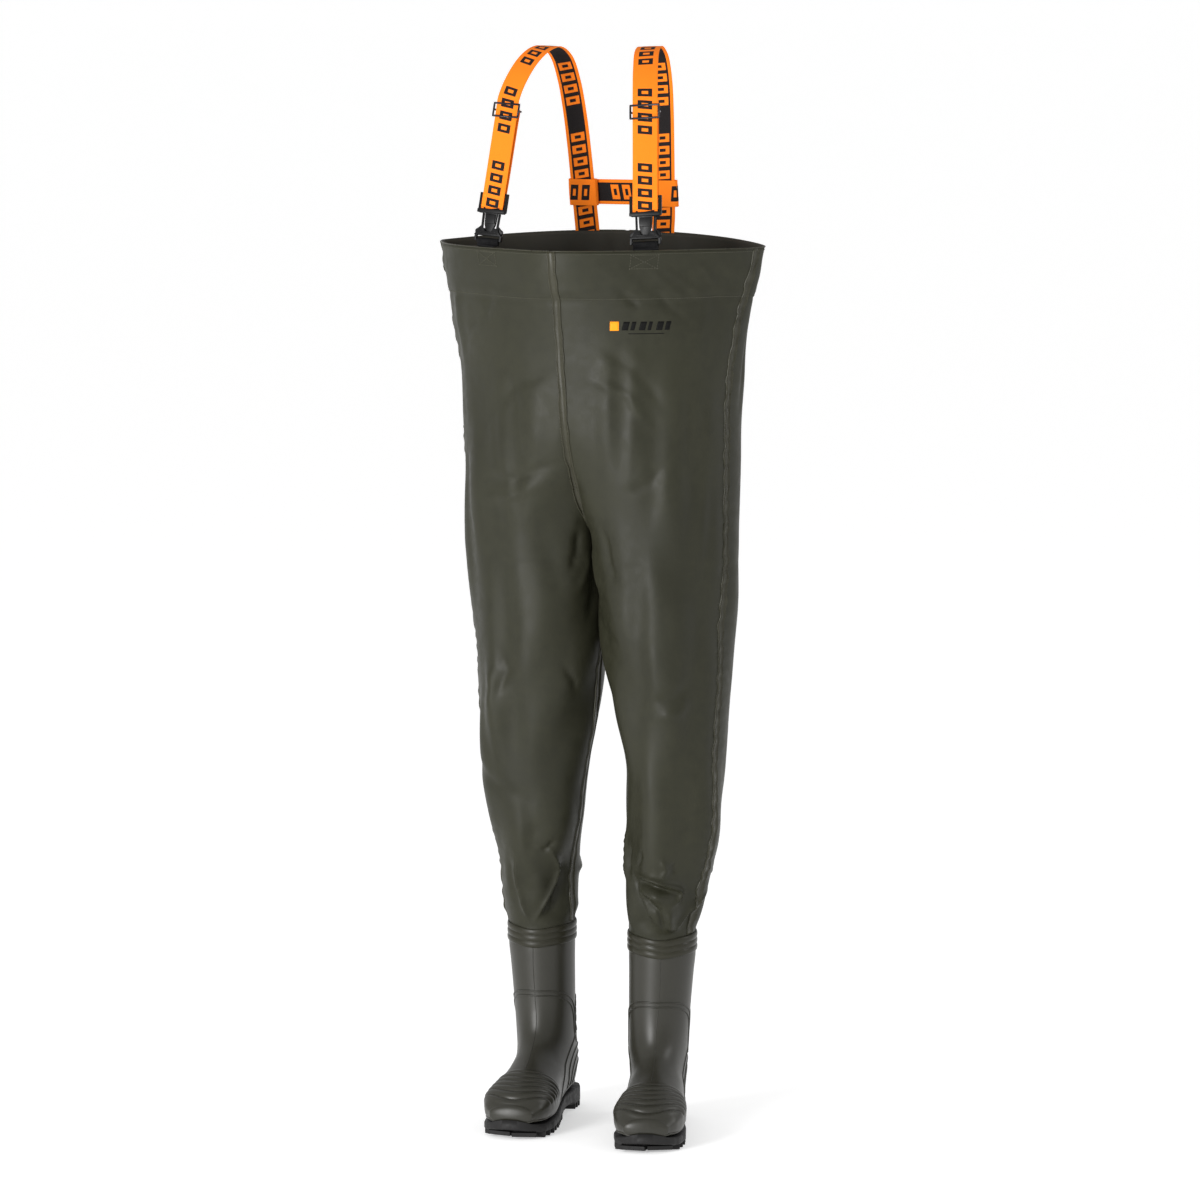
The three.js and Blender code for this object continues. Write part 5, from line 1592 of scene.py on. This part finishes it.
def make_clips():
    for name, side in SIDES.items():
        clip = Clip(side)
        socket = softened(f"buckle_socket_{name}", "socket", 0.0006, PLASTIC)
        ridges = pad(clip, [(0, -0.0047, 0.0195 + k * 0.0022) for k in range(2)],
                     [(0.034 - 0.004 * k, 0.0012, 0.0011) for k in range(2)], PLASTIC)
        socket = merge(f"clip_socket_{name}", [socket] + ridges)
        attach(socket, WADERS)
        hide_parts(f"buckle_socket_{name}")

        plug = softened(f"buckle_plug_{name}", "plug", 0.0005, PLASTIC)
        raised = pad(clip, [(0, -0.0023, 0.0415), (0, -0.0036, 0.0532)],
                     [(0.017, 0.0022, 0.0135), (0.0475, 0.0036, 0.006)], PLASTIC)
        plug = merge(f"clip_plug_{name}", [plug] + raised)
        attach(plug, f"plug_{name}")
        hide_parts(f"buckle_plug_{name}")
        for which, out in (("outer", side), ("inner", -side)):
            arm = softened(f"latch_arm_{name}_{which}", "arm", 0.0004, PLASTIC)
            grips = pad(clip, [(out * 0.0233, 0, 0.0215 + k * 0.0018) for k in range(2)],
                        [(0.0010, 0.0036, 0.001)] * 2, PLASTIC)
            arm = merge(f"clip_arm_{name}_{which}", [arm] + grips)
            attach(arm, f"latch_{name}_{which}")
            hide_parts(f"latch_arm_{name}_{which}")
        wire = softened(f"strap_adjuster_{name}", f"wire_adjuster_{name}", 0.0004, STEEL, 1, 60)
        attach(wire, f"adjuster_{name}")
        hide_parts(f"strap_adjuster_{name}")
        insole = softened(f"boot_insole_{name}", f"foam_insole_{name}", 0.0008, FOAM)
        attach(insole, WADERS)
        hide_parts(f"boot_insole_{name}")


def make_cross_strap():
    """A strap across the back, sewn into a sleeve round each shoulder strap."""
    low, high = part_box("cross_strap")
    over = shoulder_points(1)
    k = next(i for i, point in enumerate(over) if point[2] < CROSS_HEIGHT)
    share = (over[k - 1][2] - CROSS_HEIGHT) / (over[k - 1][2] - over[k][2])
    centre = lerp(over[k - 1], over[k], share)
    middle = np.array([0, (low.y + high.y) / 2, (low.z + high.z) / 2])
    up = unit((over[k - 1] - over[k]) * (0, 1, 1))
    out = np.array([0, up[2], -up[1]])
    wide, deep = WEBBING / 2 + 0.0035, 0.0036
    pieces = []
    for side in (1, -1):
        x = side * centre[0]
        corners = [(wide, -deep), (wide, deep), (-wide, deep), (-wide, -deep)]
        round_corners = []
        for i, (u, v) in enumerate(corners):
            start = (-90, 0, 90, 180)[i]
            for t in np.radians(np.linspace(start, start + 90, 6)):
                round_corners.append((u - math.copysign(0.003, u) + 0.003 * math.cos(t),
                                      v - math.copysign(0.003, v) + 0.003 * math.sin(t)))
        round_corners = round_corners[3:] + round_corners[:4]
        path = [middle + (x + u, 0, 0) + out * v for u, v in round_corners]
        points, across = smooth_path(path, [up] * len(path), 0.0012)
        pieces.append(ribbon("sleeve", points, -across, 0.040, STRAP, STRAPS, start=0.02 * side))
    span = centre[0] - wide + 0.012
    path = [middle + (x, 0, 0) + out * (deep + 0.0008) for x in np.linspace(-span, span, 24)]
    pieces.append(ribbon("web", path, [up] * 24, WEBBING, STRAP, STRAPS, start=0.3))
    cross = merge("cross_webbing", pieces)
    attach(cross, "cross_strap")
    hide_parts("cross_strap")


# ------------------------------------------------------------------ room, light and camera
def make_room():
    camera_data = bpy.data.cameras.new("camera")
    camera_data.sensor_width, camera_data.lens = 36.0, 162.15
    camera = bpy.data.objects.new("camera", camera_data)
    bpy.context.scene.collection.objects.link(camera)
    azimuth, away = math.radians(24), 8.0
    camera.location = (away * math.sin(azimuth), away * -math.cos(azimuth) + SHIFT[1], 1.70)
    camera.rotation_euler = (math.radians(90 - 6.49), 0, azimuth + math.radians(0.021))
    bpy.context.scene.camera = camera

    floor_finish = Finish("pale floor", {
        "Base Color": (0.9, 0.9, 0.9, 1), "Roughness": 0.7, "Specular IOR Level": 0.1,
        "Emission Color": (1, 1, 1, 1), "Emission Strength": 0.4})
    floor = mesh_piece("floor", [(-900, -900, 0), (900, -900, 0), (900, 1500, 0), (-900, 1500, 0)],
                       [(0, 1, 2, 3)], floor_finish.material, smooth=False)

    world = bpy.data.worlds.new("studio")
    bpy.context.scene.world = world
    world.use_nodes = True
    world.node_tree.nodes["Background"].inputs["Color"].default_value = (1, 1, 1, 1)
    world.node_tree.nodes["Background"].inputs["Strength"].default_value = 0.66
    for label, place, power, size, aim in (
        ("key softbox", (-0.9, -3.5, 1.05), 112, (1.1, 2.0), (0, 0, 0.6)),
        ("side softbox", (3.6, 1.2, 1.9), 25, (0.8, 2.2), (0, 0, 0.7)),
    ):
        lamp = bpy.data.lights.new(label, "AREA")
        lamp.shape, lamp.size, lamp.size_y, lamp.energy = "RECTANGLE", *size, power
        light = bpy.data.objects.new(label, lamp)
        light.location = place
        light.rotation_euler = (Vector(aim) - Vector(place)).to_track_quat("-Z", "Y").to_euler()
        bpy.context.scene.collection.objects.link(light)
    view = bpy.context.scene.view_settings
    view.view_transform, view.look, view.exposure = "Standard", "None", 0.0


make_room()
make_panels()
for tape, node in make_tapes():
    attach(tape, WADERS)
    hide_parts(node)
make_facings()
make_rim()
make_stitching()
make_chest_mark()
make_boots()
make_straps()
make_clips()
make_cross_strap()
